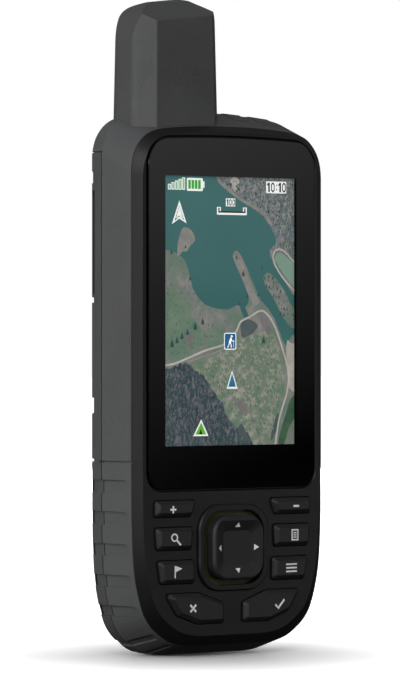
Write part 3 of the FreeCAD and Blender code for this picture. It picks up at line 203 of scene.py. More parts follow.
def glowing(name, low, high, scale, detail=4.0, strength=0.46, middle=None, stretch=None):
    """A lit part of the display picture: two or three tones mixed by noise."""
    mat, tree, shader = new_material(name)
    noise = grain(tree, scale, detail, 0.65, stretch)
    stops = [(0.32, low), (0.68, high)]
    if middle:
        stops.insert(1, (0.5, middle))
    tone = ramp(tree, noise.outputs["Fac"], *stops)
    tree.links.new(tone, shader.inputs["Base Color"])
    tree.links.new(tone, shader.inputs["Emission Color"])
    shader.inputs["Emission Strength"].default_value = strength
    shader.inputs["Roughness"].default_value = 0.5
    shader.inputs["Specular IOR Level"].default_value = 0.2
    return mat


# ------------------------------------------------------------------ materials of the CAD nodes
GREY = (0.072, 0.073, 0.075)
BLACK = (0.0045, 0.0045, 0.0047)
KEY = (0.013, 0.013, 0.0134)

SLOT_LOOKS = {
    "dark_plastic": moulded("bezel_plastic", BLACK, 0.45, relief=0.12, specular=0.32, wear_and_edge_highlight=0.5),
    "grip_rubber": moulded("band_rubber", GREY, 0.62, spread=0.2, relief=0.2, specular=0.3, wear_and_edge_highlight=0.15),
    "grey_plastic": moulded("case_plastic", scaled(GREY, 0.84), 0.58, spread=0.24, relief=0.2, specular=0.35,
                            wear_and_edge_highlight=0.2),
    "black_plastic": moulded("black_nylon", (0.016, 0.016, 0.017), 0.45, wear_and_edge_highlight=0.6),
    "black_rubber": moulded("seal_rubber", (0.010, 0.010, 0.010), 0.75, specular=0.2),
    "mat_rubber": moulded("keypad_rubber", (0.12, 0.12, 0.125), 0.8, specular=0.25),
    "key_rubber": moulded("key_rubber", KEY, 0.52, spread=0.08, relief=0.1, specular=0.4, wear_and_edge_highlight=0.3),
    "olive_plastic": moulded("olive_plastic", (0.045, 0.052, 0.014), 0.5, specular=0.3),
    "white_plastic": moulded("white_plastic", (0.62, 0.62, 0.6), 0.5, spread=0.05),
    "lamp": moulded("lamp_resin", (0.85, 0.78, 0.35), 0.25, spread=0.05, coat=0.6),
    "display_face": moulded("display_stack", (0.012, 0.013, 0.014), 0.3),
    "ceramic_former": moulded("fired_ceramic", (0.52, 0.47, 0.38), 0.55, pits=1400.0, relief=0.3),
    "copper_wire": brushed("copper", (0.85, 0.42, 0.22), 0.25),
    "steel": brushed("brushed_steel", (0.55, 0.55, 0.56), 0.3),
    "tin_plate": brushed("tin_plate", (0.68, 0.68, 0.66), 0.28),
    "nickel": brushed("nickel_plate", (0.72, 0.69, 0.62), 0.2),
    "gold_brass": brushed("gilt_brass", (0.83, 0.6, 0.25), 0.22),
    "board_green": moulded("board_varnish", (0.012, 0.085, 0.035), 0.32, spread=0.25, pits=900.0, coat=0.5),
    "cell_wrap": moulded("cell_sleeve", (0.03, 0.16, 0.07), 0.3, spread=0.08, relief=0.05, coat=0.5),
}


def clear_plastic():
    """Clear moulding with a faint milkiness."""
    mat, tree, shader = new_material("clear_plastic")
    noise = grain(tree, 700.0)
    tree.links.new(ramp(tree, noise.outputs["Fac"], (0.3, (0.86, 0.88, 0.88)), (0.7, (0.95, 0.96, 0.96))),
                   shader.inputs["Base Color"])
    shader.inputs["Transmission Weight"].default_value = 0.85
    shader.inputs["Roughness"].default_value = 0.12
    return mat


def window_glass():
    """Clear glass over the display with a black print behind the border."""
    mat, tree, shader = new_material("window_glass")
    slow = grain(tree, 25.0)
    tone = ramp(tree, slow.outputs["Fac"], (0.3, (0.0010, 0.0010, 0.0011)), (0.7, (0.0014, 0.0014, 0.0015)))
    tree.links.new(tone, shader.inputs["Base Color"])
    shader.inputs["Roughness"].default_value = 0.04
    coords = put(tree, "ShaderNodeTexCoord")
    split = put(tree, "ShaderNodeSeparateXYZ")
    tree.links.new(coords.outputs["Object"], split.inputs[0])
    inside = None
    limits = (("X", "GREATER_THAN", VIEW_X[0]), ("X", "LESS_THAN", VIEW_X[1]),
              ("Z", "GREATER_THAN", VIEW_Z[0]), ("Z", "LESS_THAN", VIEW_Z[1]))
    for axis, operation, limit in limits:
        test = put(tree, "ShaderNodeMath", operation=operation)
        tree.links.new(split.outputs[axis], test.inputs[0])
        test.inputs[1].default_value = limit * MM
        if inside is None:
            inside = test.outputs[0]
        else:
            both = put(tree, "ShaderNodeMath", operation="MULTIPLY")
            tree.links.new(inside, both.inputs[0])
            tree.links.new(test.outputs[0], both.inputs[1])
            inside = both.outputs[0]
    clear = put(tree, "ShaderNodeBsdfTransparent")
    shine = put(tree, "ShaderNodeBsdfGlossy")
    shine.inputs["Roughness"].default_value = 0.04
    fresnel = put(tree, "ShaderNodeFresnel")
    fresnel.inputs["IOR"].default_value = 1.2
    pane = put(tree, "ShaderNodeMixShader")
    tree.links.new(fresnel.outputs[0], pane.inputs[0])
    tree.links.new(clear.outputs[0], pane.inputs[1])
    tree.links.new(shine.outputs[0], pane.inputs[2])
    whole = put(tree, "ShaderNodeMixShader")
    tree.links.new(inside, whole.inputs[0])
    tree.links.new(shader.outputs[0], whole.inputs[1])
    tree.links.new(pane.outputs[0], whole.inputs[2])
    tree.links.new(whole.outputs[0], tree.nodes["Material Output"].inputs["Surface"])
    return mat


SLOT_LOOKS["clear_plastic"] = clear_plastic()
SLOT_LOOKS["window_glass"] = window_glass()

slots = {entry["node"]: entry["material_slot"] for entry in frame["record"]["subparts"]}
for name, node in nodes.items():
    node.data.materials.clear()
    node.data.materials.append(SLOT_LOOKS[slots[name]])


# ------------------------------------------------------------------ flat pieces: outlines of (x, z) in mm
def rounded(before, start, end, after, steps):
    """Points of a smooth run from start towards end, given their neighbours."""
    result = []
    for step in range(steps):
        t = step / steps
        result.append(tuple(
            0.5 * (2 * b + (c - a) * t + (2 * a - 5 * b + 4 * c - d) * t * t
                   + (3 * b - a - 3 * c + d) * t ** 3)
            for a, b, c, d in zip(before, start, end, after)))
    return result


def smooth(points, steps=4):
    """A closed outline rounded through its points."""
    count = len(points)
    result = []
    for index in range(count):
        result += rounded(*(points[(index + shift) % count] for shift in (-1, 0, 1, 2)), steps)
    return result


def ribbon(points, width, curved=False):
    """The outline of a line drawn with a width."""
    if curved:
        ends = [points[0]] + list(points) + [points[-1]]
        fine = []
        for index in range(len(ends) - 3):
            fine += rounded(*ends[index:index + 4], 5)
        points = fine + [points[-1]]
    left, right = [], []
    for index, (x, z) in enumerate(points):
        x0, z0 = points[max(index - 1, 0)]
        x1, z1 = points[min(index + 1, len(points) - 1)]
        run = math.hypot(x1 - x0, z1 - z0)
        nx, nz = -(z1 - z0) / run * width / 2, (x1 - x0) / run * width / 2
        left.append((x + nx, z + nz))
        right.append((x - nx, z - nz))
    return left + right[::-1]


def disc(x, z, radius, sides=20):
    """A round outline."""
    return [(x + radius * math.cos(2 * math.pi * k / sides), z + radius * math.sin(2 * math.pi * k / sides))
            for k in range(sides)]


def rect(x0, x1, z0, z1):
    """An upright rectangle."""
    return [(x0, z0), (x1, z0), (x1, z1), (x0, z1)]


def soft_rect(x0, x1, z0, z1, radius, steps=4):
    """A rectangle with rounded corners."""
    result = []
    corners = ((x1 - radius, z0 + radius, 270), (x1 - radius, z1 - radius, 0), (x0 + radius, z1 - radius, 90),
               (x0 + radius, z0 + radius, 180))
    for x, z, start in corners:
        for step in range(steps + 1):
            angle = math.radians(start + 90 * step / steps)
            result.append((x + radius * math.cos(angle), z + radius * math.sin(angle)))
    return result


def enlarged(outline, amount):
    """An outline pushed outwards from its middle."""
    cx = sum(x for x, _ in outline) / len(outline)
    cz = sum(z for _, z in outline) / len(outline)
    result = []
    for x, z in outline:
        run = math.hypot(x - cx, z - cz)
        result.append((x + (x - cx) / run * amount, z + (z - cz) / run * amount))
    return result


def flat_piece(name, look, outlines, front_y, thick, body=CASE, rise=None):
    """Thin closed plates, one to an outline, with their front at front_y, or nearer by rise(x, z)."""
    mesh = bpy.data.meshes.new(name)
    work = bmesh.new()
    for outline in outlines:
        near, far = [], []
        for x, z in outline:
            y = front_y - (rise(x, z) if rise else 0.0)
            near.append(work.verts.new((x, y, z)))
            far.append(work.verts.new((x, y + thick, z)))
        for a, b, c in tessellate_polygon([[Vector((x, z, 0)) for x, z in outline]]):
            work.faces.new((near[a], near[b], near[c]))
            work.faces.new((far[c], far[b], far[a]))
        for index in range(len(near)):
            after = (index + 1) % len(near)
            work.faces.new((near[after], near[index], far[index], far[after]))
    bmesh.ops.recalc_face_normals(work, faces=work.faces)
    bmesh.ops.scale(work, vec=(MM, MM, MM), verts=work.verts)
    work.to_mesh(mesh)
    work.free()
    mesh.materials.append(look)
    obj = bpy.data.objects.new(name, mesh)
    bpy.context.collection.objects.link(obj)
    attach(obj, body)
    return obj


def strokes(points, width):
    """Straight bars along a line, one to a step, each with square ends."""
    bars = []
    for (x0, z0), (x1, z1) in zip(points, points[1:]):
        run = math.hypot(x1 - x0, z1 - z0)
        ux, uz = (x1 - x0) / run * width / 2, (z1 - z0) / run * width / 2
        bars.append([(x0 - ux - uz, z0 - uz + ux), (x0 - ux + uz, z0 - uz - ux), (x1 + ux + uz, z1 + uz - ux),
                     (x1 + ux - uz, z1 + uz + ux)])
    return bars


# ------------------------------------------------------------------ the picture on the display
LAYER = 0.011


def layer(level, name, look, outlines):
    """One printed layer of the display picture, above the panel."""
    flat_piece("map_" + name, look, outlines, PANEL_Y - LAYER * (level + 1), LAYER * 0.8)


LAKE = glowing("lit_lake", (0.034, 0.126, 0.122), (0.058, 0.165, 0.16), 18.0, 2.0)
LAND = glowing("lit_woodland", (0.06, 0.115, 0.11), (0.33, 0.31, 0.32), 900.0, 5.0,
               middle=(0.15, 0.175, 0.172), stretch=(1.6, 1.0, 0.7))
FIELD = glowing("lit_field", (0.12, 0.2, 0.14), (0.29, 0.26, 0.255), 240.0, 8.0, middle=(0.18, 0.205, 0.185))
MEADOW = glowing("lit_meadow", (0.1, 0.2, 0.125), (0.38, 0.37, 0.31), 520.0, 8.0, middle=(0.185, 0.22, 0.17))
GRASS = glowing("lit_grass", (0.115, 0.2, 0.14), (0.17, 0.235, 0.175), 200.0)
FOREST = glowing("lit_forest", (0.014, 0.04, 0.048), (0.2, 0.185, 0.215), 950.0, 6.0,
                 middle=(0.052, 0.078, 0.088), stretch=(1.5, 1.0, 0.6))
SHORE = glowing("lit_shore", (0.2, 0.2, 0.185), (0.31, 0.285, 0.27), 350.0)
ROAD = glowing("lit_road", (0.43, 0.39, 0.35), (0.55, 0.5, 0.46), 400.0)
SAND = glowing("lit_sand", (0.38, 0.36, 0.31), (0.5, 0.48, 0.42), 300.0)
POND = glowing("lit_pond", (0.16, 0.28, 0.215), (0.22, 0.34, 0.27), 60.0)
TREES = glowing("lit_trees", (0.02, 0.065, 0.065), (0.05, 0.1, 0.1), 300.0)
SHADE = glowing("lit_shade", (0.04, 0.085, 0.085), (0.1, 0.12, 0.12), 240.0)
EARTH = glowing("lit_earth", (0.15, 0.14, 0.14), (0.22, 0.2, 0.2), 260.0)
HEDGE = glowing("lit_hedge", (0.03, 0.085, 0.05), (0.07, 0.14, 0.08), 220.0)
PAPER = glowing("lit_white", (0.84, 0.86, 0.84), (0.9, 0.91, 0.9), 200.0, strength=0.6)
INK = glowing("lit_black", (0.012, 0.013, 0.014), (0.022, 0.023, 0.024), 200.0)
SIGNAL = glowing("lit_signal", (0.25, 0.5, 0.27), (0.32, 0.58, 0.34), 200.0)
CHARGE = glowing("lit_charge", (0.03, 0.36, 0.03), (0.05, 0.44, 0.05), 200.0)
SIGN = glowing("lit_sign", (0.01, 0.07, 0.2), (0.02, 0.15, 0.34), 160.0)
ARROW = glowing("lit_arrow", (0.01, 0.1, 0.2), (0.03, 0.25, 0.42), 260.0)
TENT = glowing("lit_tent", (0.09, 0.4, 0.02), (0.17, 0.52, 0.04), 200.0)

EDGE = 21.4
LOW_Z, HIGH_Z = 52.0, 119.2
layer(0, "land", FIELD, [rect(-EDGE, EDGE, LOW_Z, HIGH_Z)])
layer(1, "woodland", LAND, [[(-5, HIGH_Z), (-5, 110), (8, 100), (EDGE, 92), (EDGE, HIGH_Z)]])
layer(1, "meadow", MEADOW, [
    smooth([(-12, 71.9), (-2, 75.5), (1.5, 79.5), (4, 78.5), (8.5, 80), (13, 80), (16, 74), (17.2, 69),
            (16.8, 64), (15, 60), (13.5, 52.3), (3, 52.3), (-1, 58), (-6, 66)])])
layer(1, "grass", GRASS, [
    smooth([(-7.5, 79), (-4.5, 80.2), (-1.5, 79.5), (-2, 77), (-6.5, 75.8)]),
    smooth([(-19, 73), (-13, 74.5), (-8, 79), (-12, 84), (-16, 90), (EDGE * -1, 88)]),
    smooth([(6.5, 97), (11, 93), (8, 88), (5, 87)])])
layer(2, "forest", FOREST, [
    [(-EDGE, LOW_Z), (-EDGE, 71.2), (-18.4, 71.2), (-17.2, 71.9), (-16.4, 71.7), (-15.7, 72.6), (-14.9, 72.2),
     (-13.8, 72.8), (-13, 72.1), (-12.2, 72.2), (-11.6, 70.9), (-11, 70.5), (-10.2, 70.6), (-9.4, 69.6),
     (-8.6, 69.8), (-7.9, 68.6), (-6.5, 67.4), (-6.1, 66.2), (-4.6, 65), (-4.2, 63.8), (-2.3, 62.6),
     (-2.2, 61.4), (-1.5, 59.8), (-0.6, 58.6), (0.8, 57.3), (1.6, 56.2), (3, 56.8), (3.9, 55.2),
     (5.2, 55.4), (6.2, 53.8), (7, LOW_Z)]])
layer(2, "lake", LAKE, [
    [(-EDGE, HIGH_Z), (-EDGE, 100.2), (-19.3, 100.2), (-17.4, 99.8), (-15.8, 99), (-14.2, 97.8), (-13.3, 96),
     (-12.8, 94.4), (-12.4, 93), (-11.8, 91), (-10.8, 89.4), (-9.4, 88), (-7.9, 86.9), (-5, 86.1),
     (-2.8, 85.8), (-0.6, 85.8), (1.2, 86.6), (2.8, 87), (3.1, 85.7), (4.2, 83.6), (5.7, 84), (5, 85.4),
     (4.5, 86.2), (5.5, 87.4), (5.6, 89), (4.8, 91), (3.8, 93), (2.8, 95), (1.6, 97), (0.6, 99),
     (0.9, 100.1), (2, 100.4), (3.1, 99.4), (5, 96.2), (6.3, 93.8), (7.8, 91), (9.4, 88.2), (11.7, 86.1),
     (13.9, 83.4), (15.2, 80.6), (16.2, 78.4), (17.3, 76.8), (18.3, 78), (19.3, 79.4), (EDGE, 80),
     (EDGE, 88.4), (19.4, 89.8), (17.7, 92), (15.4, 94.8), (13.4, 97), (12.3, 99), (12.3, 100.8),
     (13.6, 101.8), (14.4, 102.6), (14, 104.2), (12.2, 106.8), (10.3, 109), (7, 110.9), (2.8, 112.8),
     (-0.9, 115), (-3.9, 117.2), (-4.7, HIGH_Z)]])
layer(3, "shore", SHORE, [
    smooth([(-16.5, 99.2), (-16.3, 102.3), (-15.4, 104.9), (-14.2, 106), (-12, 105), (-11.1, 102.8),
            (-12.7, 101.2), (-13.6, 100), (-14.9, 99.9), (-15.9, 99)]),
    ribbon([(1.6, 99.4), (2.6, 97.2), (4.6, 93.6), (6.4, 90), (8.2, 87)], 2.1, True),
    ribbon([(-4.3, HIGH_Z), (-3.3, 117.2), (-0.3, 115.2), (3.1, 113.1), (7.3, 111.3), (10.8, 109.4),
            (13, 106.8)], 0.75, True)])
ISLAND = smooth([(11.5, 95), (10.3, 93.8), (10.9, 91.8), (12.7, 89.6), (14.9, 86.4), (16.4, 84), (18.8, 81.5),
                 (EDGE, 81.6), (EDGE, 85.6), (19, 87), (17.6, 89.4), (15.4, 92.4), (13, 94.4)])
layer(3, "island", FIELD, [ISLAND])
layer(3, "glade", SAND, [
    smooth([(-0.2, 116.9), (0.3, 118.3), (1.6, 118.6), (2.7, 117.6), (2.2, 115.9), (1.2, 115)]),
    smooth([(17.8, 78), (18.9, 77.4), (EDGE, 76.2), (EDGE, 66), (18.6, 66), (18.4, 69), (17.5, 74)])])
layer(3, "hollows", SHADE, [
    smooth([(3.2, 82.3), (5, 83.4), (7.6, 82.6), (8.4, 81.4), (6, 79.4), (3.5, 79)]),
    smooth([(13.8, 58), (15, 60), (15.2, 57.5), (13.2, 53.5), (12.5, 54)]),
    smooth([(2.2, 56), (3.5, 57.4), (5, 54.6), (6.4, 53), (3, 52.8)])])
layer(3, "earth", EARTH, [
    smooth([(1.9, 62.6), (3.6, 63.3), (5.2, 61.6), (4.9, 59.3), (3, 60.2)]),
    smooth([(9.2, 84), (11, 83.6), (12.6, 80.6), (11.5, 79.8), (9.6, 82)]),
    smooth([(-13.8, 79.6), (-12, 80), (-11.7, 77.2), (-13.4, 76.6)])])
layer(4, "pond", POND, [
    smooth([(EDGE, 97), (18.8, 98), (17.3, 99.2), (15.6, 100), (14.1, 99.3), (14.3, 97.6), (16.1, 95.3),
            (18.6, 92.9), (EDGE, 91)])])
layer(4, "roads", ROAD, [
    ribbon([(-EDGE, 71.8), (-17.5, 72.4), (-13.7, 73.6), (-7.9, 75.6), (-2.4, 77), (0.4, 78.8),
            (1.9, 80.6), (3.1, 82.7), (6, 84), (9.4, 85.5), (11.7, 84.4), (13.8, 81.7), (15.2, 78.7),
            (16.6, 75.2), (17.7, 71.9), (18.2, 68.4), (17.6, 64.8), (16.2, 61.2), (15, 57.6),
            (14, LOW_Z)], 0.5, True),
    ribbon([(EDGE, 97.6), (19.4, 98.2), (17.7, 99.8), (15.6, 100.9), (14, 100.5), (13.3, 99.2), (13.7, 97.5),
            (15.3, 95), (17.8, 92.4), (EDGE, 89.5)], 0.42, True)])
layer(4, "lane", SHORE, [ribbon([(-13.4, 72.8), (-8.2, 74.2), (-4.4, 75.2), (-1.8, 76.2)], 0.35, True)])
layer(4, "hedge", HEDGE, [
    smooth([(EDGE, 65), (18.6, 63), (17.6, 60.2), (16.2, 57), (14.9, 52.4), (16.8, 52.4), (18.4, 56.4),
            (EDGE, 60.5)])])
firs = [(-18.1, 77.4, 0.95), (-16.6, 78.2, 0.8), (-15.1, 79.2, 0.8), (-13.4, 80.2, 0.75), (-11.0, 81.6, 0.9),
        (-8.7, 82.8, 0.8), (10.3, 78.2, 0.8), (15.7, 84.8, 0.6), (5.2, 89.2, 0.6), (2.6, 87.2, 0.5),
        (1.8, 98.7, 0.45), (3.9, 94.7, 0.7), (-12.6, 93.4, 0.5), (-14, 101.2, 0.4), (8.7, 89.6, 0.5),
        (-18.3, 99.9, 0.6), (9.8, 96.4, 0.4)]
for _ in range(34):
    x = random.uniform(-2, 19.5)
    firs.append((x, random.uniform(116.5 - 0.62 * (x + 2) + 1.5, 117), random.uniform(0.2, 0.42)))
layer(4, "firs", TREES, [
    [(x - size * 0.55, z - size), (x + size * 0.55, z - size), (x + size * 0.6, z - size * 0.3),
     (x, z + size * 1.2), (x - size * 0.6, z - size * 0.3)] for x, z, size in firs])


def loop(outline, width):
    """A closed line of even width inside an outline, as plates that meet side by side."""
    inner = enlarged(outline, -width)
    count = len(outline)
    return [[outline[k], outline[(k + 1) % count], inner[(k + 1) % count], inner[k]] for k in range(count)]


ZERO = ((0.35, 0.0), (0.7, 0.0), (1.0, 0.4), (1.0, 1.6), (0.7, 2.0), (0.35, 2.0), (0.05, 1.6), (0.05, 0.4))
ONE = ((0.36, 0.0), (0.78, 0.0), (0.78, 2.0), (0.5, 2.0), (0.1, 1.68), (0.1, 1.28), (0.36, 1.45))
ADVANCE = {"1": 1.05, "0": 1.3, ":": 0.6}


def figures(signs, x, z, size):
    """A row of figures, and the plates that stand behind them."""
    marks, backs = [], []
    for sign in signs:
        if sign == "0":
            outline = [(x + size * px, z + size * pz) for px, pz in ZERO]
            marks += loop(outline, 0.36 * size)
        elif sign == "1":
            marks.append([(x + size * px, z + size * pz) for px, pz in ONE])
        else:
            marks += [rect(x + 0.12 * size, x + 0.4 * size, z + low * size, z + (low + 0.3) * size)
                      for low in (0.4, 1.3)]
        backs.append(rect(x - 0.18 * size, x + (ADVANCE[sign] - 0.19) * size,
                          z - 0.22 * size, z + 2.22 * size))
        x += ADVANCE[sign] * size
    return marks, backs


def inside(x, z, outline):
    """Whether a point lies inside an outline."""
    within = False
    for (x0, z0), (x1, z1) in zip(outline, outline[1:] + outline[:1]):
        if (z0 > z) != (z1 > z) and x < x0 + (x1 - x0) * (z - z0) / (z1 - z0):
            within = not within
    return within


def scatter(name, look, region, count, sizes, level=3):
    """Small upright tufts strewn over part of the map, none nearer to another than its own size."""
    tufts, placed = [], []
    left, right = min(x for x, _ in region), max(x for x, _ in region)
    low, high = min(z for _, z in region), max(z for _, z in region)
    for _ in range(count):
        x, z, size = random.uniform(left, right), random.uniform(low, high), random.uniform(*sizes)
        clear = all(abs(x - px) > 0.55 * (size + ps) or abs(z - pz) > size + ps for px, pz, ps in placed)
        if inside(x, z, region) and clear:
            placed.append((x, z, size))
            lean = random.uniform(-0.2, 0.2) * size
            tufts.append([(x - 0.45 * size, z), (x + lean, z - 0.9 * size),
                          (x + 0.5 * size, z), (x - lean, z + size)])
    layer(level, name, look, tufts)


WOODS = [(-4, 118.6), (-2.6, 117.4), (0.4, 115.4), (3.5, 113.4), (7.8, 111.6), (11.4, 109.6), (13.2, 107.2),
         (15.2, 104.4), (17.5, 101.4), (20.2, 99), (20.2, 118.6)]
FOREST_EDGE = [(-20.6, 52.4), (-20.6, 70.9), (-12.6, 71.4), (-8.4, 69), (-4.9, 64.6), (-2.2, 60.2),
               (1.2, 56.2), (5.6, 52.6)]
MEADOW_EDGE = [(-9, 72), (-1, 76.5), (4, 78), (12.5, 80), (15.6, 74), (16.4, 66), (13, 55), (5, 54.5),
               (0, 60), (-5, 67)]
FIELD_EDGE = [(-20.4, 74), (-14, 75), (-4, 79), (1, 83), (-9, 86), (-13, 93), (-16, 98.6), (-20.4, 99.4)]
DUSK = glowing("lit_dusk", (0.10, 0.09, 0.115), (0.2, 0.175, 0.205), 240.0)
PALE = glowing("lit_pale", (0.27, 0.27, 0.255), (0.36, 0.35, 0.34), 240.0)
TUFT = glowing("lit_tuft", (0.06, 0.13, 0.085), (0.12, 0.2, 0.13), 240.0)
scatter("woods_dark", TREES, WOODS, 700, (0.22, 0.5))
scatter("woods_pale", PALE, WOODS, 500, (0.2, 0.42), 4)
scatter("woods_dusk", DUSK, WOODS, 400, (0.25, 0.5), 2)
scatter("forest_dark", TREES, FOREST_EDGE, 1100, (0.28, 0.6))
scatter("forest_dusk", DUSK, FOREST_EDGE, 700, (0.25, 0.6), 4)
scatter("meadow_tufts", TUFT, MEADOW_EDGE, 700, (0.25, 0.6), 2)
scatter("meadow_pale", PALE, MEADOW_EDGE, 420, (0.2, 0.5), 3)
scatter("island_trees", TREES, ISLAND, 160, (0.28, 0.62), 5)
scatter("island_tufts", TUFT, ISLAND, 90, (0.25, 0.6), 4)
scatter("field_tufts", TUFT, FIELD_EDGE, 240, (0.25, 0.55), 1)

bars = [(-19.3 + 1.08 * index, 1.0 + 0.42 * index) for index in range(5)]
needle = [(-15.9, 112.5), (-13.7, 106.9), (-15.95, 108), (-18.2, 106.6)]
tent = [(-9.2, 57.9), (-7.6, 54.9), (-11.0, 54.9)]
marker = [(0.4, 70.0), (1.6, 66.6), (-0.8, 66.6)]
bracket = [(-3.9, 110.9), (-3.9, 109.7), (4.6, 109.7), (4.6, 110.9), (4.2, 110.9), (4.2, 110.1),
           (-3.5, 110.1), (-3.5, 110.9)]
clock, clock_backs = figures("10:10", 11.3, 115.1, 1.2)
number, number_backs = figures("100", -1.4, 111.5, 0.8)
layer(5, "rims", PAPER,
      [soft_rect(x - 0.1, x + 0.85, 115.1, 115.3 + height + 0.2, 0.15) for x, height in bars]
      + [soft_rect(-13.6, -8.7, 114.9, 118.1, 0.3), rect(-8.7, -8.2, 115.7, 117.3), needle,
         soft_rect(-4.3, 5.0, 109.2, 110.0, 0.15), rect(-4.3, -3.1, 110.0, 111.1),
         rect(3.8, 5.0, 110.0, 111.1), soft_rect(-2.1, 1.7, 75.8, 80, 0.5), enlarged(tent, 0.75),
         enlarged(marker, 0.7)]
      + clock_backs + number_backs)
layer(6, "fills", INK, [bracket] + clock + number
      + [ribbon([(-17.2, 107.6), (-15.93, 111.2), (-14.6, 107.8), (-15.95, 108.7), (-17.2, 107.6)], 0.2)])
layer(6, "signal", SIGNAL, [rect(x + 0.1, x + 0.65, 115.3, 115.3 + height) for x, height in bars])
layer(6, "charge", CHARGE, [rect(-13.2 + 1.02 * k, -12.4 + 1.02 * k, 115.4, 117.6) for k in range(4)])
layer(6, "sign", SIGN, [soft_rect(-1.85, 1.45, 76.05, 79.75, 0.35)])
layer(6, "pointer", ARROW, [marker])
layer(6, "tent", TENT, [tent])
layer(7, "walker", PAPER, [
    disc(0.25, 79.1, 0.32, 12), ribbon([(0.1, 78.7), (-0.35, 77.6)], 0.62),
    ribbon([(-0.3, 77.8), (0.1, 77.0), (0.1, 76.3)], 0.3),
    ribbon([(-0.4, 77.8), (-0.6, 77.0), (-1.0, 76.3)], 0.3),
    ribbon([(0.0, 78.4), (0.5, 77.9), (0.9, 77.9)], 0.22),
    ribbon([(0.95, 78.3), (0.85, 76.3)], 0.12)])
layer(7, "doorway", INK, [
    [(-9.3, 56.3), (-8.8, 54.95), (-9.9, 54.95)],
    [(-0.4, 67.1), (0.4, 66.8), (1.2, 67.1), (0.4, 66.65)]])


# ------------------------------------------------------------------ signs on the keys and the rocker
PRINT = moulded("key_print", (0.86, 0.87, 0.86), 0.55, spread=0.04, relief=0.05, specular=0.3)
PRINT_PROUD = 0.03
PRINT_T = 0.04


def on_key(name, outlines):
    """White signs on the top of a key."""
    flat_piece("print_" + name, PRINT, outlines, KEY_TOP_Y - PRINT_PROUD, PRINT_T,
               "key_" + name)


on_key("zoom_in", [rect(-20.2, -18.4, 36.45, 36.95), rect(-19.55, -19.05, 36.95, 37.6),
                   rect(-19.55, -19.05, 35.8, 36.45)])
on_key("zoom_out", [rect(18.1, 19.9, 36.45, 36.95)])
on_key("find", loop(disc(-18.9, 29.85, 1.05), 0.38) + strokes([(-17.95, 28.9), (-17.2, 28.15)], 0.5))
on_key("page", [rect(17.5, 17.85, 28.1, 30.9), rect(19.35, 19.7, 28.1, 30.9),
                rect(17.85, 19.35, 28.1, 28.45), rect(17.85, 19.35, 30.55, 30.9)]
       + [rect(18.1, 19.1, z, z + 0.28) for z in (28.8, 29.35, 29.9)])
on_key("mark", [rect(-18.9, -18.55, 19.9, 22.9), [(-18.55, 22.9), (-16.5, 22.2), (-18.55, 21.4)]])
on_key("menu", [rect(15.8, 19.2, z, z + 0.42) for z in (20.2, 21.1, 22.0)])
on_key("quit", strokes([(-13.9, 11.6), (-12.5, 13.0)], 0.5)
       + strokes([(-13.9, 13.0), (-13.45, 12.55)], 0.5) + strokes([(-12.95, 12.05), (-12.5, 11.6)], 0.5))
on_key("enter", [ribbon([(12.4, 12.3), (13.3, 11.4), (15.2, 13.5)], 0.55)])

ARROW_TIP = 6.25
ARROW_BASE = 5.1
ARROW_HALF = 0.78
DISH_HALF = 4.2
DISH_Y = -16.4
RIM_HALF = 6.8


def dish_rise(x, z):
    """How far the sloped side of the rocker's dish stands in front of its floor."""
    reach = max(abs(x), abs(z - ROCKER_Z))
    return (reach - DISH_HALF) / (RIM_HALF - DISH_HALF) * (DISH_Y - RIM_Y)


heads = [(0.0, 1.0), (1.0, 0.0), (0.0, -1.0), (-1.0, 0.0)]
flat_piece("print_rocker", PRINT, [
    [(ux * ARROW_TIP, ROCKER_Z + uz * ARROW_TIP),
     (ux * ARROW_BASE + uz * ARROW_HALF, ROCKER_Z + uz * ARROW_BASE - ux * ARROW_HALF),
     (ux * ARROW_BASE - uz * ARROW_HALF, ROCKER_Z + uz * ARROW_BASE + ux * ARROW_HALF)] for ux, uz in heads],
    DISH_Y - PRINT_PROUD, PRINT_T, "rocker_cap", dish_rise)


# ------------------------------------------------------------------ stage, light and camera
def card(name, centre, facing, size, stops, strength, roll=0.0):
    """A softbox: a lit card, brighter towards its top, that the camera doesn't see."""
    mesh = bpy.data.meshes.new(name)
    half_w, half_h = size[0] / 2, size[1] / 2
    mesh.from_pydata([(-half_w, 0, -half_h), (half_w, 0, -half_h), (half_w, 0, half_h), (-half_w, 0, half_h)],
                     [], [(0, 1, 2, 3)])
    obj = bpy.data.objects.new(name, mesh)
    bpy.context.collection.objects.link(obj)
    obj.location = centre
    obj.rotation_euler = (Vector(facing) - Vector(centre)).to_track_quat("Y", "Z").to_euler()
    obj.rotation_euler.rotate_axis("Y", math.radians(roll))
    mat = bpy.data.materials.new(name)
    mat.use_nodes = True
    tree = mat.node_tree
    tree.nodes.clear()
    coords = put(tree, "ShaderNodeTexCoord")
    split = put(tree, "ShaderNodeSeparateXYZ")
    height = put(tree, "ShaderNodeMapRange")
    height.inputs["From Min"].default_value = -half_h
    height.inputs["From Max"].default_value = half_h
    light = put(tree, "ShaderNodeEmission")
    light.inputs["Strength"].default_value = strength
    out = put(tree, "ShaderNodeOutputMaterial")
    tree.links.new(coords.outputs["Object"], split.inputs[0])
    tree.links.new(split.outputs["Z"], height.inputs["Value"])
    tree.links.new(ramp(tree, height.outputs["Result"], *stops), light.inputs["Color"])
    tree.links.new(light.outputs[0], out.inputs["Surface"])
    mesh.materials.append(mat)
    obj.visible_camera = False
    return obj


FLOOR_HALF = 6
FLOOR_GAP = 0.0001
SHADOW_CENTRE = (-0.006, -0.008)
SHADOW_REACH = 0.09


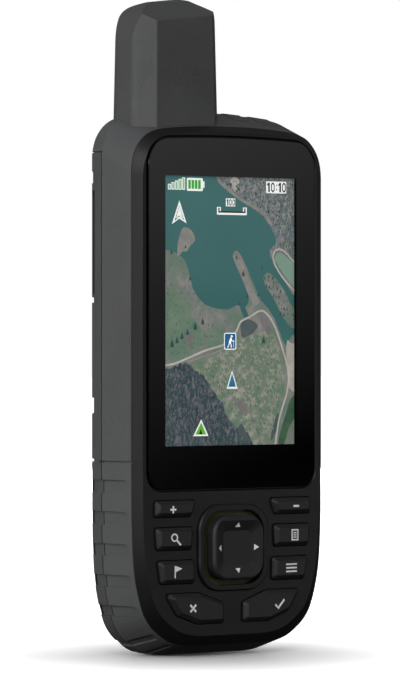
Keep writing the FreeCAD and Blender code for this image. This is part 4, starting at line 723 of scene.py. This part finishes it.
def backdrop():
    """A wide pale floor that glows white far off. Near the foot of the object it darkens, partly from the
    lamps' real shadow and partly from painted shadow, because its glow fades out there.
    """
    mat, tree, shader = new_material("paper_sweep")
    noise = grain(tree, 8.0)
    tree.links.new(ramp(tree, noise.outputs["Fac"], (0.3, (0.93, 0.93, 0.93)), (0.7, (0.95, 0.95, 0.95))),
                   shader.inputs["Base Color"])
    shader.inputs["Roughness"].default_value = 0.9
    shader.inputs["Emission Color"].default_value = (1, 1, 1, 1)
    coords = put(tree, "ShaderNodeTexCoord")
    reach = put(tree, "ShaderNodeVectorMath", operation="LENGTH")
    # painted shadow: the floor's glow dims towards the object's foot, on top of the lamps' real shadow
    painted_shadow_fade = put(tree, "ShaderNodeMapRange", interpolation_type="SMOOTHSTEP")
    for socket, value in (("From Min", 0.0), ("From Max", SHADOW_REACH), ("To Min", 0.0), ("To Max", 1.0)):
        painted_shadow_fade.inputs[socket].default_value = value
    tree.links.new(coords.outputs["Object"], reach.inputs[0])
    tree.links.new(reach.outputs["Value"], painted_shadow_fade.inputs["Value"])
    tree.links.new(painted_shadow_fade.outputs["Result"], shader.inputs["Emission Strength"])
    mesh = bpy.data.meshes.new("paper_sweep")
    far = FLOOR_HALF
    mesh.from_pydata([(-far, -far, 0), (far, -far, 0), (far, far, 0), (-far, far, 0)], [], [(0, 1, 2, 3)])
    mesh.materials.append(mat)
    floor = bpy.data.objects.new("paper_sweep", mesh)
    bpy.context.collection.objects.link(floor)
    floor.location = (*SHADOW_CENTRE, CAD_BOX[0][2] - FLOOR_GAP)
    floor.visible_diffuse = False
    floor.visible_glossy = False


def world():
    """White all round for the camera, dim for what lights the object."""
    sky = bpy.data.worlds.new("studio")
    bpy.context.scene.world = sky
    sky.use_nodes = True
    tree = sky.node_tree
    seen = tree.nodes["Background"]
    seen.inputs["Color"].default_value = (1, 1, 1, 1)
    seen.inputs["Strength"].default_value = 1.0
    dim = put(tree, "ShaderNodeBackground")
    dim.inputs["Color"].default_value = (1, 1, 1, 1)
    coords = put(tree, "ShaderNodeTexCoord")
    split = put(tree, "ShaderNodeSeparateXYZ")
    above = put(tree, "ShaderNodeMapRange", interpolation_type="SMOOTHSTEP")
    for socket, value in (("From Min", -0.1), ("From Max", 0.3), ("To Min", 0.02), ("To Max", 0.16)):
        above.inputs[socket].default_value = value
    tree.links.new(coords.outputs["Generated"], split.inputs[0])
    tree.links.new(split.outputs["Z"], above.inputs["Value"])
    tree.links.new(above.outputs["Result"], dim.inputs["Strength"])
    path = put(tree, "ShaderNodeLightPath")
    mix = put(tree, "ShaderNodeMixShader")
    tree.links.new(path.outputs["Is Camera Ray"], mix.inputs[0])
    tree.links.new(dim.outputs[0], mix.inputs[1])
    tree.links.new(seen.outputs[0], mix.inputs[2])
    tree.links.new(mix.outputs[0], tree.nodes["World Output"].inputs["Surface"])


def area(name, centre, target, size, power):
    """A soft area lamp that the camera doesn't see."""
    lamp = bpy.data.lights.new(name, "AREA")
    lamp.shape = "RECTANGLE"
    lamp.size, lamp.size_y = size
    lamp.energy = power
    obj = bpy.data.objects.new(name, lamp)
    bpy.context.collection.objects.link(obj)
    obj.location = centre
    obj.rotation_euler = (Vector(target) - Vector(centre)).to_track_quat("-Z", "Y").to_euler()
    obj.visible_camera = False


backdrop()
world()
WHITE = (1.0, 1.0, 1.0)
area("top_lamp", (-0.3, 0.4, 2.0), (0, 0, 0), (2.4, 2.4), 4.5)
area("front_lamp", (-1.1, -1.5, 0.9), (0, 0, 0.08), (0.8, 0.8), 14.0)
area("back_lamp", (0.9, 1.2, 0.16), (0, 0, 0.08), (0.5, 0.25), 6.0)
area("low_strip", (0.25, -0.28, 0.012), (0, -0.015, 0.02), (0.16, 0.02), 0.045)
card("left_softbox", (-1.3, -0.1, 0.25), (0, 0, 0.1), (1.6, 0.6), ((0.0, grey(0.5)), (0.4, WHITE)), 4.9)
card("front_gradient", (0.63, -0.83, 0.25), (0, 0, 0.1), (0.8, 0.9),
     ((0.25, grey(0.0)), (0.36, grey(0.38)), (0.46, grey(0.9)), (1.0, WHITE)), 0.8, -22.0)

# ---- a level camera about a metre away, round to the left of the object's front
AZIMUTH = math.radians(37.0)
EYE_Y = -0.0149
DISTANCE = 1.04
EYE_Z = 0.0787
ASIDE = 0.0082
SENSOR_H = 36.0
LENS = 223.7
away = Vector((-math.sin(AZIMUTH), -math.cos(AZIMUTH), 0.0))
rightward = Vector((math.cos(AZIMUTH), -math.sin(AZIMUTH), 0.0))
camera = bpy.data.cameras.new("camera")
camera.sensor_fit = "VERTICAL"
camera.sensor_height = SENSOR_H
camera.lens = LENS
camera_object = bpy.data.objects.new("camera", camera)
bpy.context.collection.objects.link(camera_object)
camera_object.location = Vector((0, EYE_Y, EYE_Z)) + away * DISTANCE - rightward * ASIDE
camera_object.rotation_euler = (-away).to_track_quat("-Z", "Y").to_euler()
bpy.context.scene.camera = camera_object
bpy.context.scene.view_settings.view_transform = "Standard"
